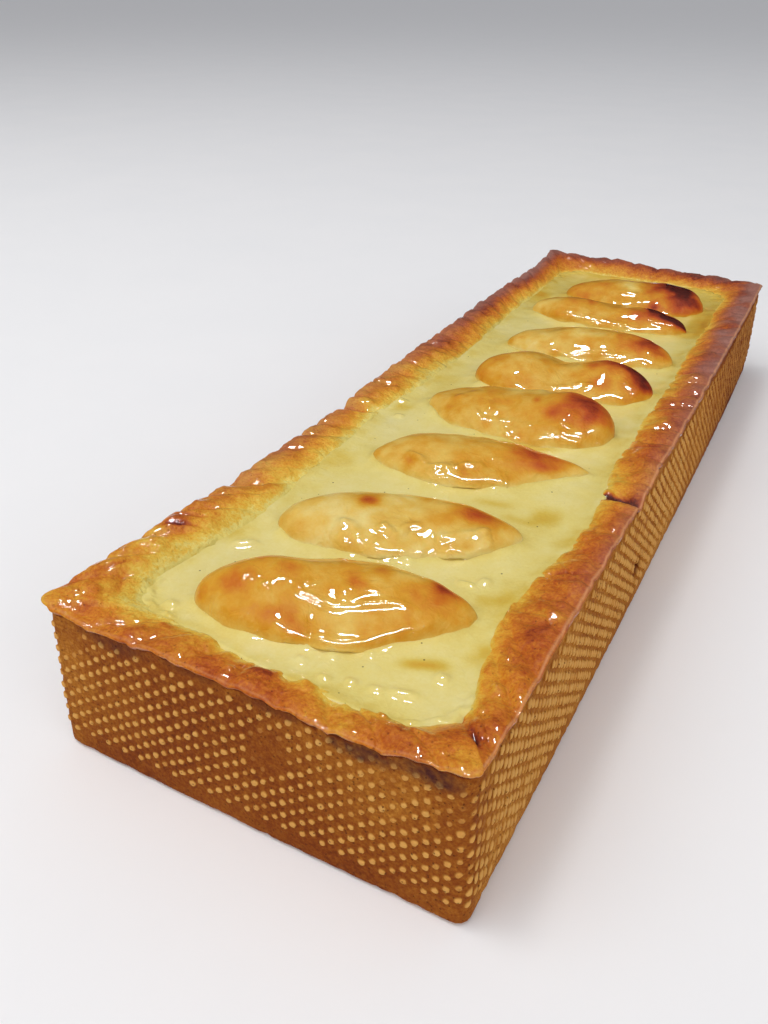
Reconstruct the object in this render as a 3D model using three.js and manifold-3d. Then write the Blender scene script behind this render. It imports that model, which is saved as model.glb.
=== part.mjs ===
// Apple custard tart: a rectangular pastry case filled with baked custard, with eight apple wedges across it.
// Millimetres, +Z up. X runs across the tart and Y along it, and it stands with its centre on the origin.
import * as THREE from "three";
import { mergeVertices } from "three/addons/utils/BufferGeometryUtils.js";
import Module from "manifold-3d";

const wasm = await Module();
wasm.setup();

// ---------------------------------------------------------------- driving dimensions

const GAP = 0.3; // kept between neighbouring pieces

// The pastry case. Its walls lean in by `draft` from the bottom to the rim.
const CASE = {
  width: 88.4,
  length: 288.4,
  cornerRadius: 2.6,
  draft: 0.9,
  foot: 0.8, // small bevel along the bottom edge
  floor: 6, // thickness of the pastry under the custard
};

// The rim: its outer edge is a lip that overhangs the wall, most at the corners, and crimps run across it.
const RIM = {
  crownAt: 0.2, // share of the rim's width from its outer edge to its highest line
  slopeAt: 0.6, // share where the slope down to the custard is a quarter of the way down
  lipDepth: 1.6, // from the highest line down to the lip's under edge
  lipRound: 0.4, // from the highest line down to the lip's upper edge
  overhang: 0.5,
  cornerOverhang: 0.3,
  cornerReach: 7,
  breadth: 12, // its usual width
  innerRadius: 10, // plan radius of the custard's corners
  crimpSpacing: 9.5,
  crimpDepth: 0.7,
  lumps: 0.3,
};

// Three tables at even steps along each side, from left to right or from near to far: how far the side stands
// out from the case's straight outline, the height of the rim, and its width.
const BOW = {
  near: [0, 0.2, 0.3, 0.2, 0],
  far: [0, 0.2, 0.3, 0.2, 0],
  left: [2.8, 0.9, 0.6, 0.7, 0.7, 0.6, 0.4, 0],
  right: [0, 0.4, 0.7, 0.9, 1, 0.9, 0.6, 0],
};
const CROWN = {
  near: [37.4, 35.6, 35.4, 35.9, 35.7, 35.6, 35, 34.5, 34.4, 36, 36.4],
  far: [38.8, 38.3, 38, 38.1, 37.8, 37.4, 37, 36.8, 36.6, 36.2, 36],
  left: [37.1, 36.9, 36.5, 35.8, 35.1, 35, 35.2, 36, 36.4, 36.3, 36.6, 36.9, 36.8, 36.4, 36.8, 38.8],
  right: [36.4, 35.4, 36, 36.2, 36, 35.8, 36.4, 36.3, 36, 36.1, 36.3, 36.4, 36.2, 36, 35.8, 36],
};
const BREADTH = {
  near: [13, 12.4, 12.4, 12.4, 11.4, 10.4, 10.2, 9.2, 9.2, 9.8, 10.4],
  far: [11, 11, 11, 11.5, 11.5, 11.5, 12, 12, 12, 12, 12],
  left: [13, 11.6, 13.4, 15.2, 14, 13.6, 12, 14, 14.4, 15, 13.4, 12.4, 12, 12.6, 12, 11],
  right: [10.4, 9.4, 14.6, 13, 10.6, 11, 12.8, 13, 13.4, 12.8, 13, 13.4, 13.4, 13.6, 13, 12],
};

// Splits across the rim: on which side, where along it, how wide and how deep.
const SPLITS = [
  { side: "left", y: -34, width: 5, depth: 2.4 },
  { side: "left", y: -86, width: 5, depth: 1.2 },
  { side: "right", y: -48.5, width: 4, depth: 1.6 },
];

const CUSTARD = {
  level: 32.7,
  edgeRise: 0.35, // clings to the rim
  hug: 0.6, // rises round the fruit
  ripple: 0.25,
  cell: 9, // size of the squares that its top is made of
};

const WEDGE = {
  depth: 7, // how far a wedge reaches below the custard
  stations: 12,
  crownSteps: 8, // round the half that stands out of the custard
  rootSteps: 4, // round the half that is sunk in it
};

// The eight wedges, from the near end to the far end.
const WEDGES = {
  x: [1.6, -0.2, 3, 1.8, 4.9, 3.7, 0, 2.6],
  y: [-115, -84.2, -46.6, -16.4, 12.8, 42.8, 78, 104.3],
  turn: [22, 22, 18.9, 1.5, 11, 6.5, 2, 4], // degrees about Z
  length: [55.5, 54.5, 54.6, 54, 53.4, 54.2, 56, 51.8],
  breadth: [23.5, 21, 21.6, 25.4, 22.6, 22.4, 17.6, 23],
  rise: [8.2, 5.8, 5.8, 7.5, 7.6, 6.5, 6.4, 6.6], // height of the crest above the custard
  tilt: [-0.15, -0.15, -0.05, 0.3, 0, 0.1, -0.05, 0.08], // rise of the crest towards the right end
  bow: [-0.6, 0.2, -1.2, -1.2, 0.6, 2.4, 0, 0.7], // bend towards the far end
  lean: [0.3, 0.3, 0.25, 0.3, 0.3, 0.25, 0.25, 0.3], // how far the crest lies towards the far end
  taper: [0.28, 0.12, 0.5, -0.3, -0.25, 0.02, -0.1, -0.3], // narrowing of the right half
  leftTaper: [0.1, -0.1, 0, 0.1, -0.2, 0.05, -0.1, 0], // narrowing of the left half
  saddle: [1.2, 0.6, 0.2, 0.9, 2.2, 0, 1.2, 0.3], // dip in the middle of the crest
  scoop: [1, 0.5, 0.5, 0.7, 0.8, 0.5, 0.6, 0.3], // hollow in the near face, where the core was
};
const APPLES = WEDGES.x.map((_, i) =>
  Object.fromEntries(Object.entries(WEDGES).map(([size, values]) => [size, values[i]])),
);

// How many steps the case's outline takes along each long side, along each short side and round each corner.
const STEPS = { long: 80, short: 24, corner: 4 };

const COLOURS = {
  crust: 0xb4702a,
  custard: 0xe0d68a,
  apple: 0xd69b45,
};

// ---------------------------------------------------------------- lists, unevenness and curves

// A list of `count` things made from their numbers.
function counted(count, make) {
  return Array.from({ length: count }, (_, i) => make(i));
}

// A repeatable level between -1 and 1 for whole number n.
function level(n, seed) {
  const spread = Math.sin(n * 127.1 + seed * 311.7) * 43758.5453;
  return 2 * (spread - Math.floor(spread)) - 1;
}

// Smooth lumps between -1 and 1, one to each unit of `at`.
function lumps(at, seed) {
  const cell = Math.floor(at);
  const within = at - cell;
  const blend = within * within * (3 - 2 * within);
  return level(cell, seed) * (1 - blend) + level(cell + 1, seed) * blend;
}

// 1 at the middle of a bump, falling smoothly to 0 at `reach` from it.
function bump(distance, reach) {
  const near = Math.max(0, 1 - Math.abs(distance) / reach);
  return near * near * (3 - 2 * near);
}

// The smooth curve through evenly spaced values, at `share` of the way from the first to the last.
function along(values, share) {
  const curve = new THREE.SplineCurve(values.map((value, i) => new THREE.Vector2(i, value)));
  return curve.getPoint(share).y;
}

// ---------------------------------------------------------------- the outline of the case

// Stations run anticlockwise seen from above, from the left end of the near side.
const SIDES = [
  { name: "near", steps: STEPS.short, out: [0, -1], run: [1, 0] },
  { name: "right", steps: STEPS.long, out: [1, 0], run: [0, 1] },
  { name: "far", steps: STEPS.short, out: [0, 1], run: [-1, 0] },
  { name: "left", steps: STEPS.long, out: [-1, 0], run: [0, -1] },
];

function makeStations() {
  return SIDES.flatMap((side) => {
    const straight = counted(side.steps, (i) => ({ side, share: i / side.steps, turned: 0 }));
    const corner = counted(STEPS.corner, (i) => ({ side, share: 1, turned: i / STEPS.corner }));
    return straight.concat(corner);
  });
}

const STATIONS = makeStations();

// The value of a table of the sides at a place beside one of them.
function fromTable(table, side, place) {
  const share = side.run[0] ? place.x / CASE.width : place.y / CASE.length;
  return along(table[side.name], THREE.MathUtils.clamp(share + 0.5, 0, 1));
}

// The point of the outline at a station, `inset` inside the straight case, with the corners' plan radius.
function outlinePoint(station, inset, radius) {
  const [outX, outY] = station.side.out;
  const [runX, runY] = station.side.run;
  const halfRun = Math.abs(runX * CASE.width + runY * CASE.length) / 2 - inset;
  const halfOut = Math.abs(outX * CASE.width + outY * CASE.length) / 2 - inset;
  const angle = (station.turned * Math.PI) / 2;
  const onward = (2 * station.share - 1) * (halfRun - radius) + radius * Math.sin(angle);
  const outward = halfOut - radius + radius * Math.cos(angle);
  return new THREE.Vector2(outX * outward + runX * onward, outY * outward + runY * onward);
}

// How far a place is pushed out by the bow of the sides: each side's bow fades out towards the other side.
function bowShift(place) {
  const push = (side, share) => Math.max(0, share) * fromTable(BOW, side, place);
  const [near, right, far, left] = SIDES;
  const acrossShare = (2 * place.x) / CASE.width;
  const alongShare = (2 * place.y) / CASE.length;
  return new THREE.Vector2(
    push(right, acrossShare) - push(left, -acrossShare),
    push(far, alongShare) - push(near, -alongShare),
  );
}

// A ring of points round the case. `insetOf` and `heightOf` take the side and the usual place of each point.
function ring(usualInset, radius, insetOf, heightOf) {
  return STATIONS.map((station) => {
    const usual = outlinePoint(station, usualInset, radius);
    const place = outlinePoint(station, insetOf(station.side, usual), radius);
    place.add(bowShift(place));
    return new THREE.Vector3(place.x, place.y, heightOf(station.side, usual));
  });
}

// 1 at a corner of the case, falling to 0 at some distance from it.
function nearCorner(place) {
  const inX = CASE.width / 2 - Math.abs(place.x);
  const inY = CASE.length / 2 - Math.abs(place.y);
  return bump(Math.hypot(inX, inY), RIM.cornerReach);
}

function splitDepth(side, place) {
  const depths = SPLITS.filter((split) => split.side === side.name).map(
    (split) => split.depth * bump(place.y - split.y, split.width),
  );
  return Math.max(0, ...depths);
}

// How far the crimps press the rim down: narrow creases between rounded folds.
function crimpDepth(side, place) {
  const onward = (side.run[0] ? place.x : place.y) / RIM.crimpSpacing + 0.3 * lumps(place.y / 20, 4);
  return RIM.crimpDepth * (1 - Math.abs(Math.sin(Math.PI * onward))) ** 2;
}

function crownHeight(side, place) {
  const uneven = RIM.lumps * lumps((place.x + 2 * place.y) / 7, 3);
  return fromTable(CROWN, side, place) + uneven - crimpDepth(side, place) - splitDepth(side, place);
}

// ---------------------------------------------------------------- solids from rings

function geometryOf(points, faces) {
  const geometry = new THREE.BufferGeometry();
  const numbers = points.flatMap((p) => [p.x, p.y, p.z]);
  geometry.setAttribute("position", new THREE.Float32BufferAttribute(numbers, 3));
  geometry.setIndex(faces.flat());
  return geometry;
}

// The faces of a band between two rings of `count` points that start at these indices.
function bandFaces(low, high, count) {
  return counted(count, (i) => {
    const next = (i + 1) % count;
    return [
      [low + i, low + next, high + next],
      [low + i, high + next, high + i],
    ];
  }).flat();
}

// Joins rings of equal count from the first to the last, and closes both ends.
function solidFromRings(rings) {
  const count = rings[0].length;
  const points = rings.flat();
  const last = points.length - count;
  const faces = rings.slice(1).flatMap((_, r) => bandFaces(r * count, (r + 1) * count, count));
  const capFaces = (first) => {
    const contour = points.slice(first, first + count).map((p) => new THREE.Vector2(p.x, p.y));
    return THREE.ShapeUtils.triangulateShape(contour, []).map((face) => face.map((i) => first + i));
  };
  faces.push(...capFaces(last), ...capFaces(0).map(([a, b, c]) => [a, c, b]));
  return geometryOf(points, faces);
}

function toManifold(geometry) {
  const bare = mergeVertices(geometry.clone(), 1e-4);
  return new wasm.Manifold(
    new wasm.Mesh({
      numProp: 3,
      vertProperties: new Float32Array(bare.attributes.position.array),
      triVerts: new Uint32Array(bare.index.array),
    }),
  );
}

function fromManifold(solid) {
  const mesh = solid.getMesh();
  const geometry = new THREE.BufferGeometry();
  geometry.setAttribute("position", new THREE.Float32BufferAttribute(mesh.vertProperties, 3));
  geometry.setIndex(Array.from(mesh.triVerts));
  return geometry;
}

// ---------------------------------------------------------------- the pastry case

// A ring on the rim, at a share of the way from its outer edge to the custard.
function rimRing(share, radius, heightOf) {
  const insetOf = (side, place) => share * fromTable(BREADTH, side, place);
  return ring(share * RIM.breadth, radius, insetOf, heightOf);
}

// Rings from the bottom edge up the wall, over the rim and down into the hollow.
function crustGeometry() {
  const outer = CASE.cornerRadius;
  const inner = RIM.innerRadius;
  const below = (drop) => (side, place) => crownHeight(side, place) - drop;
  const wall = (inset, heightOf) => ring(0, outer, () => inset, heightOf);
  const lipInset = (side, place) => CASE.draft - RIM.overhang - RIM.cornerOverhang * nearCorner(place);
  const shore = CUSTARD.level + CUSTARD.edgeRise;
  return solidFromRings([
    wall(CASE.foot, () => 0),
    wall(0, () => CASE.foot),
    wall(CASE.draft, below(2 * RIM.lipDepth - RIM.lipRound)),
    ring(0, outer, lipInset, below(RIM.lipDepth)),
    ring(0, outer, lipInset, below(RIM.lipRound)),
    rimRing(RIM.crownAt, outer, below(0)),
    rimRing(RIM.slopeAt, inner / 2, (side, place) => (crownHeight(side, place) * 3 + shore) / 4),
    rimRing(1, inner, () => shore),
    rimRing(1, inner, () => CASE.floor),
  ]);
}

// ---------------------------------------------------------------- apple wedges

// Half the breadth of a wedge at `t`, from -1 at its left end to 1 at its right end: full, with blunt ends.
function fullness(apple, t) {
  const narrowing = apple.taper * Math.max(0, t) + apple.leftTaper * Math.max(0, -t);
  return (1 - Math.abs(t) ** 2.4) ** 0.6 * (1 - narrowing);
}

// The point of a wedge's skin at `t` along it and `turn` round it, above and around the custard's level.
// `grow` stands the whole skin out by that much.
function wedgePoint(apple, seed, t, turn, grow) {
  const full = fullness(apple, t);
  const lift = Math.sin(turn);
  const knobs = 1 + 0.05 * Math.sin(3.1 * t + seed) + 0.03 * Math.sin(7.3 * t + 2.3 * seed);
  const halfBreadth = (apple.breadth / 2) * full * knobs + grow;
  const crest = apple.rise * (1 + apple.tilt * t) * full ** 0.7 - apple.saddle * bump(t, 0.5) + grow;
  const hollow = apple.scoop * bump(t - 0.15, 0.6) * bump(turn - 2.5, 0.8);
  const z = lift > 0 ? crest * lift ** 0.85 - hollow : (WEDGE.depth * full ** 0.5 + grow) * lift;
  const shift = apple.lean * halfBreadth * Math.max(0, lift) + apple.bow * (1 - t * t);
  const x = t * (apple.length / 2 + grow);
  return new THREE.Vector3(x, Math.cos(turn) * halfBreadth + shift + 0.6 * hollow, z);
}

// Turns round a wedge's section: finer over its crown than round its root.
function sectionTurns() {
  const crown = counted(WEDGE.crownSteps, (i) => (Math.PI * i) / WEDGE.crownSteps);
  const root = counted(WEDGE.rootSteps, (i) => Math.PI * (1 + i / WEDGE.rootSteps));
  return crown.concat(root);
}

function wedgeGeometry(apple, seed, grow = 0) {
  const turns = sectionTurns();
  const count = turns.length;
  const sections = counted(WEDGE.stations - 1, (i) => -Math.cos((Math.PI * (i + 1)) / WEDGE.stations));
  const tip = (end) => new THREE.Vector3(end * (apple.length / 2 + grow), 0, 0);
  const skin = sections.flatMap((t) => turns.map((turn) => wedgePoint(apple, seed, t, turn, grow)));
  const points = [tip(-1), ...skin, tip(1)];
  const start = (section) => 1 + section * count;
  const last = points.length - 1;
  const faces = sections.slice(1).flatMap((_, i) => bandFaces(start(i), start(i + 1), count));
  turns.forEach((_, k) => {
    const next = (k + 1) % count;
    faces.push([0, start(0) + next, start(0) + k]);
    faces.push([last, start(sections.length - 1) + k, start(sections.length - 1) + next]);
  });
  return geometryOf(points, faces);
}

// Where a wedge lies in the tart.
function placement(apple) {
  const turned = new THREE.Matrix4().makeRotationZ(THREE.MathUtils.degToRad(apple.turn));
  return turned.setPosition(apple.x, apple.y, CUSTARD.level);
}

// ---------------------------------------------------------------- the custard

// How close a place is to the nearest wedge: 1 under it, 0 well away from it.
function nearFruit(x, y) {
  const shares = APPLES.map((apple) => {
    const local = new THREE.Vector3(x, y, CUSTARD.level).applyMatrix4(placement(apple).invert());
    return bump(Math.hypot(local.x / (apple.length / 2 + 6), local.y / (apple.breadth / 2 + 6)), 1.3);
  });
  return Math.max(...shares);
}

function custardHeight(x, y) {
  const ripple = CUSTARD.ripple * Math.sin(x * 0.2 + y * 0.05) * Math.cos(y * 0.12 - x * 0.07);
  return CUSTARD.level + CUSTARD.hug * nearFruit(x, y) + ripple;
}

// A block of square cells whose top follows the custard's height, wide enough to fill the case.
function custardBlock() {
  const columns = Math.ceil(CASE.width / CUSTARD.cell);
  const rows = Math.ceil(CASE.length / CUSTARD.cell);
  const place = (i, count) => (i - count / 2) * CUSTARD.cell;
  const points = [];
  for (let row = 0; row <= rows; row++)
    for (let column = 0; column <= columns; column++) {
      const [x, y] = [place(column, columns), place(row, rows)];
      points.push(new THREE.Vector3(x, y, custardHeight(x, y)));
    }
  const at = (row, column) => row * (columns + 1) + column;
  const faces = [];
  for (let row = 0; row < rows; row++)
    for (let column = 0; column < columns; column++) {
      faces.push([at(row, column), at(row, column + 1), at(row + 1, column + 1)]);
      faces.push([at(row, column), at(row + 1, column + 1), at(row + 1, column)]);
    }
  return closeToFloor(points, faces, rows, columns, at);
}

// Closes a grid of faces down to a flat bottom.
function closeToFloor(points, faces, rows, columns, at) {
  const rim = [];
  for (let column = 0; column < columns; column++) rim.push(at(0, column));
  for (let row = 0; row < rows; row++) rim.push(at(row, columns));
  for (let column = columns; column > 0; column--) rim.push(at(rows, column));
  for (let row = rows; row > 0; row--) rim.push(at(row, 0));
  const low = points.length;
  rim.forEach((i) => points.push(new THREE.Vector3(points[i].x, points[i].y, 0)));
  rim.forEach((top, i) => {
    const next = (i + 1) % rim.length;
    faces.push([low + i, low + next, rim[next]], [low + i, rim[next], top]);
  });
  const contour = rim.map((i) => new THREE.Vector2(points[i].x, points[i].y));
  const bottom = THREE.ShapeUtils.triangulateShape(contour, []);
  faces.push(...bottom.map(([a, b, c]) => [low + a, low + c, low + b]));
  return geometryOf(points, faces);
}

// The custard fills the hollow of the case, and each wedge sits in a pocket of its top.
function custardGeometry() {
  const inside = (side, place) => fromTable(BREADTH, side, place) + GAP;
  const shore = (height) => ring(RIM.breadth, RIM.innerRadius, inside, () => height);
  const hollow = solidFromRings([shore(CASE.floor + GAP), shore(CUSTARD.level + 3)]);
  const filling = toManifold(custardBlock()).intersect(toManifold(hollow));
  const pocket = (apple, i) => toManifold(wedgeGeometry(apple, i, GAP).applyMatrix4(placement(apple)));
  return fromManifold(APPLES.map(pocket).reduce((custard, cut) => custard.subtract(cut), filling));
}

// ---------------------------------------------------------------- the scene graph

function pieceOf(name, geometry, colour, roughness) {
  const finish = new THREE.MeshStandardMaterial({ color: colour, roughness, metalness: 0 });
  const piece = new THREE.Mesh(geometry, finish);
  piece.name = name;
  return piece;
}

// Shifts the tart so that the middle of its outline stands over the origin.
function centre(tart) {
  const middle = new THREE.Box3().setFromObject(tart).getCenter(new THREE.Vector3());
  tart.children.forEach((piece) => piece.position.sub(new THREE.Vector3(middle.x, middle.y, 0)));
}

function buildTart() {
  const tart = new THREE.Group();
  tart.add(pieceOf("crust", crustGeometry(), COLOURS.crust, 0.45));
  tart.add(pieceOf("custard", custardGeometry(), COLOURS.custard, 0.2));
  APPLES.forEach((apple, i) => {
    const wedge = pieceOf(`apple_${i + 1}`, wedgeGeometry(apple, i), COLOURS.apple, 0.2);
    wedge.applyMatrix4(placement(apple));
    tart.add(wedge);
  });
  centre(tart);
  return tart;
}

export default buildTart();
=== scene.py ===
"""The finished look of an apple custard tart: its pastry case, its custard and its eight glazed wedges.

Sizes and places are millimetres, and meshes are written in metres. X runs across the tart, Y along it from
its near end to its far end, and Z up. The tables of the case and the wedges are those of the solid model.
"""

import logging
import math
from collections.abc import Sequence
from dataclasses import dataclass, field
from enum import Enum

import bpy
import numpy as np
from mathutils import Matrix, Quaternion, Vector
from mathutils.kdtree import KDTree


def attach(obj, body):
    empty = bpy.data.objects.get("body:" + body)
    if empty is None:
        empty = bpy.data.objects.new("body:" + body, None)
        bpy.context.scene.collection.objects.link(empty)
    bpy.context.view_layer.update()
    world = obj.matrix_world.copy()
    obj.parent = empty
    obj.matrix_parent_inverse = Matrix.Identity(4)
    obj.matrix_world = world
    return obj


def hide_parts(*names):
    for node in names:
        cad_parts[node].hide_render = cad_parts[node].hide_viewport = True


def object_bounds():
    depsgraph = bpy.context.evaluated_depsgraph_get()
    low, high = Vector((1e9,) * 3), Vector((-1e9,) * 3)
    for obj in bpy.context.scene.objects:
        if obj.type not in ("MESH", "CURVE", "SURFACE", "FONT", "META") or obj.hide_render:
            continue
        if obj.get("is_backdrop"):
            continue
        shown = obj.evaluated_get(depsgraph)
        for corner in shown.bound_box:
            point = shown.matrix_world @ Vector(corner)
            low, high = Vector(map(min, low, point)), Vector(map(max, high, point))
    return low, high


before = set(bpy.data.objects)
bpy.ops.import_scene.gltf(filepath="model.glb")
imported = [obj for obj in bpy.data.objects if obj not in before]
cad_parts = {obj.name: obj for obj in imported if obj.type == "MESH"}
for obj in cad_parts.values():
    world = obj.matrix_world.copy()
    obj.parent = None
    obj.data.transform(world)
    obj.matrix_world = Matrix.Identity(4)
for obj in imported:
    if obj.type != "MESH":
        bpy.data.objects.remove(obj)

LOG = logging.getLogger("tart")
MM = 0.001
BODY = "root"

Array = np.ndarray
Colour = tuple[int, int, int]
Object, Material = bpy.types.Object, bpy.types.Material
Tree, Node, Socket = bpy.types.NodeTree, bpy.types.Node, bpy.types.NodeSocket


# ---- curves and unevenness


def smooth(share: Array) -> Array:
    """Eases a share from 0 to 1, and holds it there outside."""
    held = np.clip(share, 0.0, 1.0)
    return held * held * (3 - 2 * held)


def bump(distance: Array, reach: float) -> Array:
    """Is 1 at the middle of a bump and falls smoothly to 0 at `reach` from it."""
    return smooth(1 - np.abs(distance) / reach)


def along(values: Sequence[float], share: Array) -> Array:
    """Reads the smooth curve through evenly spaced values.

    Args:
        values: The values, from the start of the curve to its end.
        share: How far along the curve to read, from 0 to 1.

    Returns:
        The height of the curve at each share.
    """
    last = len(values) - 1
    padded = np.concatenate(([values[0]], values, [values[-1]]))
    place = np.clip(share, 0.0, 1.0) * last
    cell = np.minimum(place.astype(int), last - 1)
    t = place - cell
    before, start, end, after = (padded[cell + k] for k in range(4))
    leave, arrive = (end - before) / 2, (after - start) / 2
    cubic = (2 * start - 2 * end + leave + arrive) * t**3
    square = (-3 * start + 3 * end - 2 * leave - arrive) * t**2
    return cubic + square + leave * t + start


def hashed(number: Array, seed: float) -> Array:
    """Gives each whole number a repeatable level between -1 and 1."""
    spread = np.sin(number * 127.1 + seed * 311.7) * 43758.5453
    return 2 * (spread - np.floor(spread)) - 1


def lumps(at: Array, seed: float) -> Array:
    """Gives smooth lumps between -1 and 1, one to each unit of `at`.

    Args:
        at: The places to read.
        seed: Chooses the pattern.

    Returns:
        The height of the lumps at each place.
    """
    cell = np.floor(at)
    blend = smooth(at - cell)
    return hashed(cell, seed) * (1 - blend) + hashed(cell + 1, seed) * blend


@dataclass
class Noise:
    """Smooth repeatable unevenness in space.

    Attributes:
        seed: Chooses the pattern.
        grid: How many cells the pattern has before it repeats.
    """

    seed: int
    grid: int = 48

    def __post_init__(self) -> None:
        """Draws the levels at the corners of the cells."""
        self.levels = np.random.default_rng(self.seed).uniform(-1.0, 1.0, (self.grid,) * 3)
        self.turn = np.array(Matrix.Rotation(0.7, 3, Vector((1.0, 0.6, 0.4))))

    def octave(self, places: Array) -> Array:
        """Reads one layer of cells of size 1.

        Args:
            places: The places, one to a row.

        Returns:
            A level for each place, between -1 and 1.
        """
        low = np.floor(places).astype(int)
        part = places - low
        part = part**3 * (part * (part * 6 - 15) + 10)
        total = np.zeros(len(places))
        for corner in np.ndindex(2, 2, 2):
            index = (low + corner) % self.grid
            weight = np.prod(np.where(corner, part, 1 - part), axis=1)
            total += weight * self.levels[index[:, 0], index[:, 1], index[:, 2]]
        return total

    def at(self, points: Array, size: float, octaves: int = 1) -> Array:
        """Reads the unevenness at some points.

        Args:
            points: The points, one to a row.
            size: The size of its largest lumps.
            octaves: How many layers it has, each of half the size and half the strength.

        Returns:
            A level for each point, mostly between -1 and 1.
        """
        total = np.zeros(len(points))
        places = points / size
        for layer in range(octaves):
            places = places @ self.turn + 11.7
            total += self.octave(places * 2**layer) / 2**layer
        return total / (2 - 0.5 ** (octaves - 1)) * 1.5


def listed(kind: type, *table: tuple) -> tuple:
    """Makes one `kind` from each row of its values."""
    return tuple(kind(*values) for values in table)


# ---- meshes


@dataclass
class Skin:
    """A mesh in the making.

    Attributes:
        points: One point to a row, in millimetres.
        faces: Arrays of faces, each with one face to a row.
        masks: A level for each point, by the name that the finish reads it by.
    """

    points: Array
    faces: list[Array]
    masks: dict[str, Array] = field(default_factory=dict)

    def object(self, name: str, *materials: Material) -> Object:
        """Makes the object that holds the mesh.

        Args:
            name: The object's name.
            *materials: The finishes in its material slots.

        Returns:
            The object, linked to the scene and shaded smooth.
        """
        mesh = bpy.data.meshes.new(name)
        mesh.vertices.add(len(self.points))
        mesh.vertices.foreach_set("co", (self.points * MM).astype(np.float32).ravel())
        corners = np.concatenate([faces.ravel() for faces in self.faces])
        counts = np.concatenate([np.full(len(faces), faces.shape[1]) for faces in self.faces])
        mesh.loops.add(len(corners))
        mesh.loops.foreach_set("vertex_index", corners.astype(np.int32))
        mesh.polygons.add(len(counts))
        starts = np.concatenate(([0], np.cumsum(counts)[:-1]))
        mesh.polygons.foreach_set("loop_start", starts.astype(np.int32))
        mesh.update(calc_edges=True)
        for mask, levels in self.masks.items():
            mesh.attributes.new(mask, "FLOAT", "POINT").data.foreach_set("value", levels.astype(np.float32))
        mesh.shade_smooth()
        for material in materials:
            mesh.materials.append(material)
        made = bpy.data.objects.new(name, mesh)
        bpy.context.scene.collection.objects.link(made)
        return made


def grid_faces(rows: int, columns: int, wrap_rows: bool = False, wrap_columns: bool = False) -> Array:
    """Lists the squares of a grid of points that is stored row after row.

    Args:
        rows: How many rows of points there are.
        columns: How many points each row has.
        wrap_rows: Whether the last row joins the first.
        wrap_columns: Whether each row closes on itself.

    Returns:
        The squares, which face up where rows run along X and follow each other along Y.
    """
    down = np.arange(rows if wrap_rows else rows - 1)[:, None]
    across = np.arange(columns if wrap_columns else columns - 1)[None, :]
    next_down, next_across = (down + 1) % rows, (across + 1) % columns
    corners = [down * columns + across, down * columns + next_across]
    corners += [next_down * columns + next_across, next_down * columns + across]
    return np.stack([np.broadcast_to(c, (down.size, across.size)).ravel() for c in corners], axis=1)


class Joining(Enum):
    """How two closed pieces are made into one."""

    TOGETHER = "UNION"
    OVERLAP = "INTERSECT"


def combined(base: Object, other: Object, joining: Joining) -> Object:
    """Joins or cuts a closed piece with another, into one closed skin.

    Args:
        base: The piece that is kept.
        other: The piece that it is joined to or cut by, which is removed.
        joining: Whether both are kept, or only what they share.

    Returns:
        The piece that is kept.
    """
    join = base.modifiers.new("join", "BOOLEAN")
    join.operation, join.solver, join.object = joining.value, "MANIFOLD", other
    depsgraph = bpy.context.evaluated_depsgraph_get()
    mesh = bpy.data.meshes.new_from_object(base.evaluated_get(depsgraph))
    base.modifiers.clear()
    base.data = mesh
    bpy.data.objects.remove(other)
    return base


def nearest(points: Array, line: Array) -> tuple[Array, Array]:
    """Finds the nearest of a line's points to each point.

    Args:
        points: The points, one to a row.
        line: The points of the line.

    Returns:
        How far each point is from the line, and the share of the way along the line where it is nearest.
    """
    tree = KDTree(len(line))
    depth = 3 - line.shape[1]
    for index, place in enumerate(np.pad(line, ((0, 0), (0, depth)))):
        tree.insert(place, index)
    tree.balance()
    found = np.array([tree.find(point)[1:] for point in np.pad(points, ((0, 0), (0, depth)))])
    return found[:, 1], found[:, 0] / (len(line) - 1)


# ---- the outline of the case


class Side(Enum):
    """The four sides of the case, anticlockwise seen from above."""

    NEAR = 0
    RIGHT = 1
    FAR = 2
    LEFT = 3


OUT = np.array([[0, -1], [1, 0], [0, 1], [-1, 0]], float)
RUN = np.array([[1, 0], [0, 1], [-1, 0], [0, -1]], float)

Table = dict[Side, tuple[float, ...]]


@dataclass(frozen=True)
class Stations:
    """Places round the case: the side, the share of its straight run, and that of the corner after it."""

    side: Array
    share: Array
    turned: Array


@dataclass(frozen=True)
class Split:
    """A split across the rim."""

    side: Side
    y: float
    width: float
    depth: float


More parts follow.
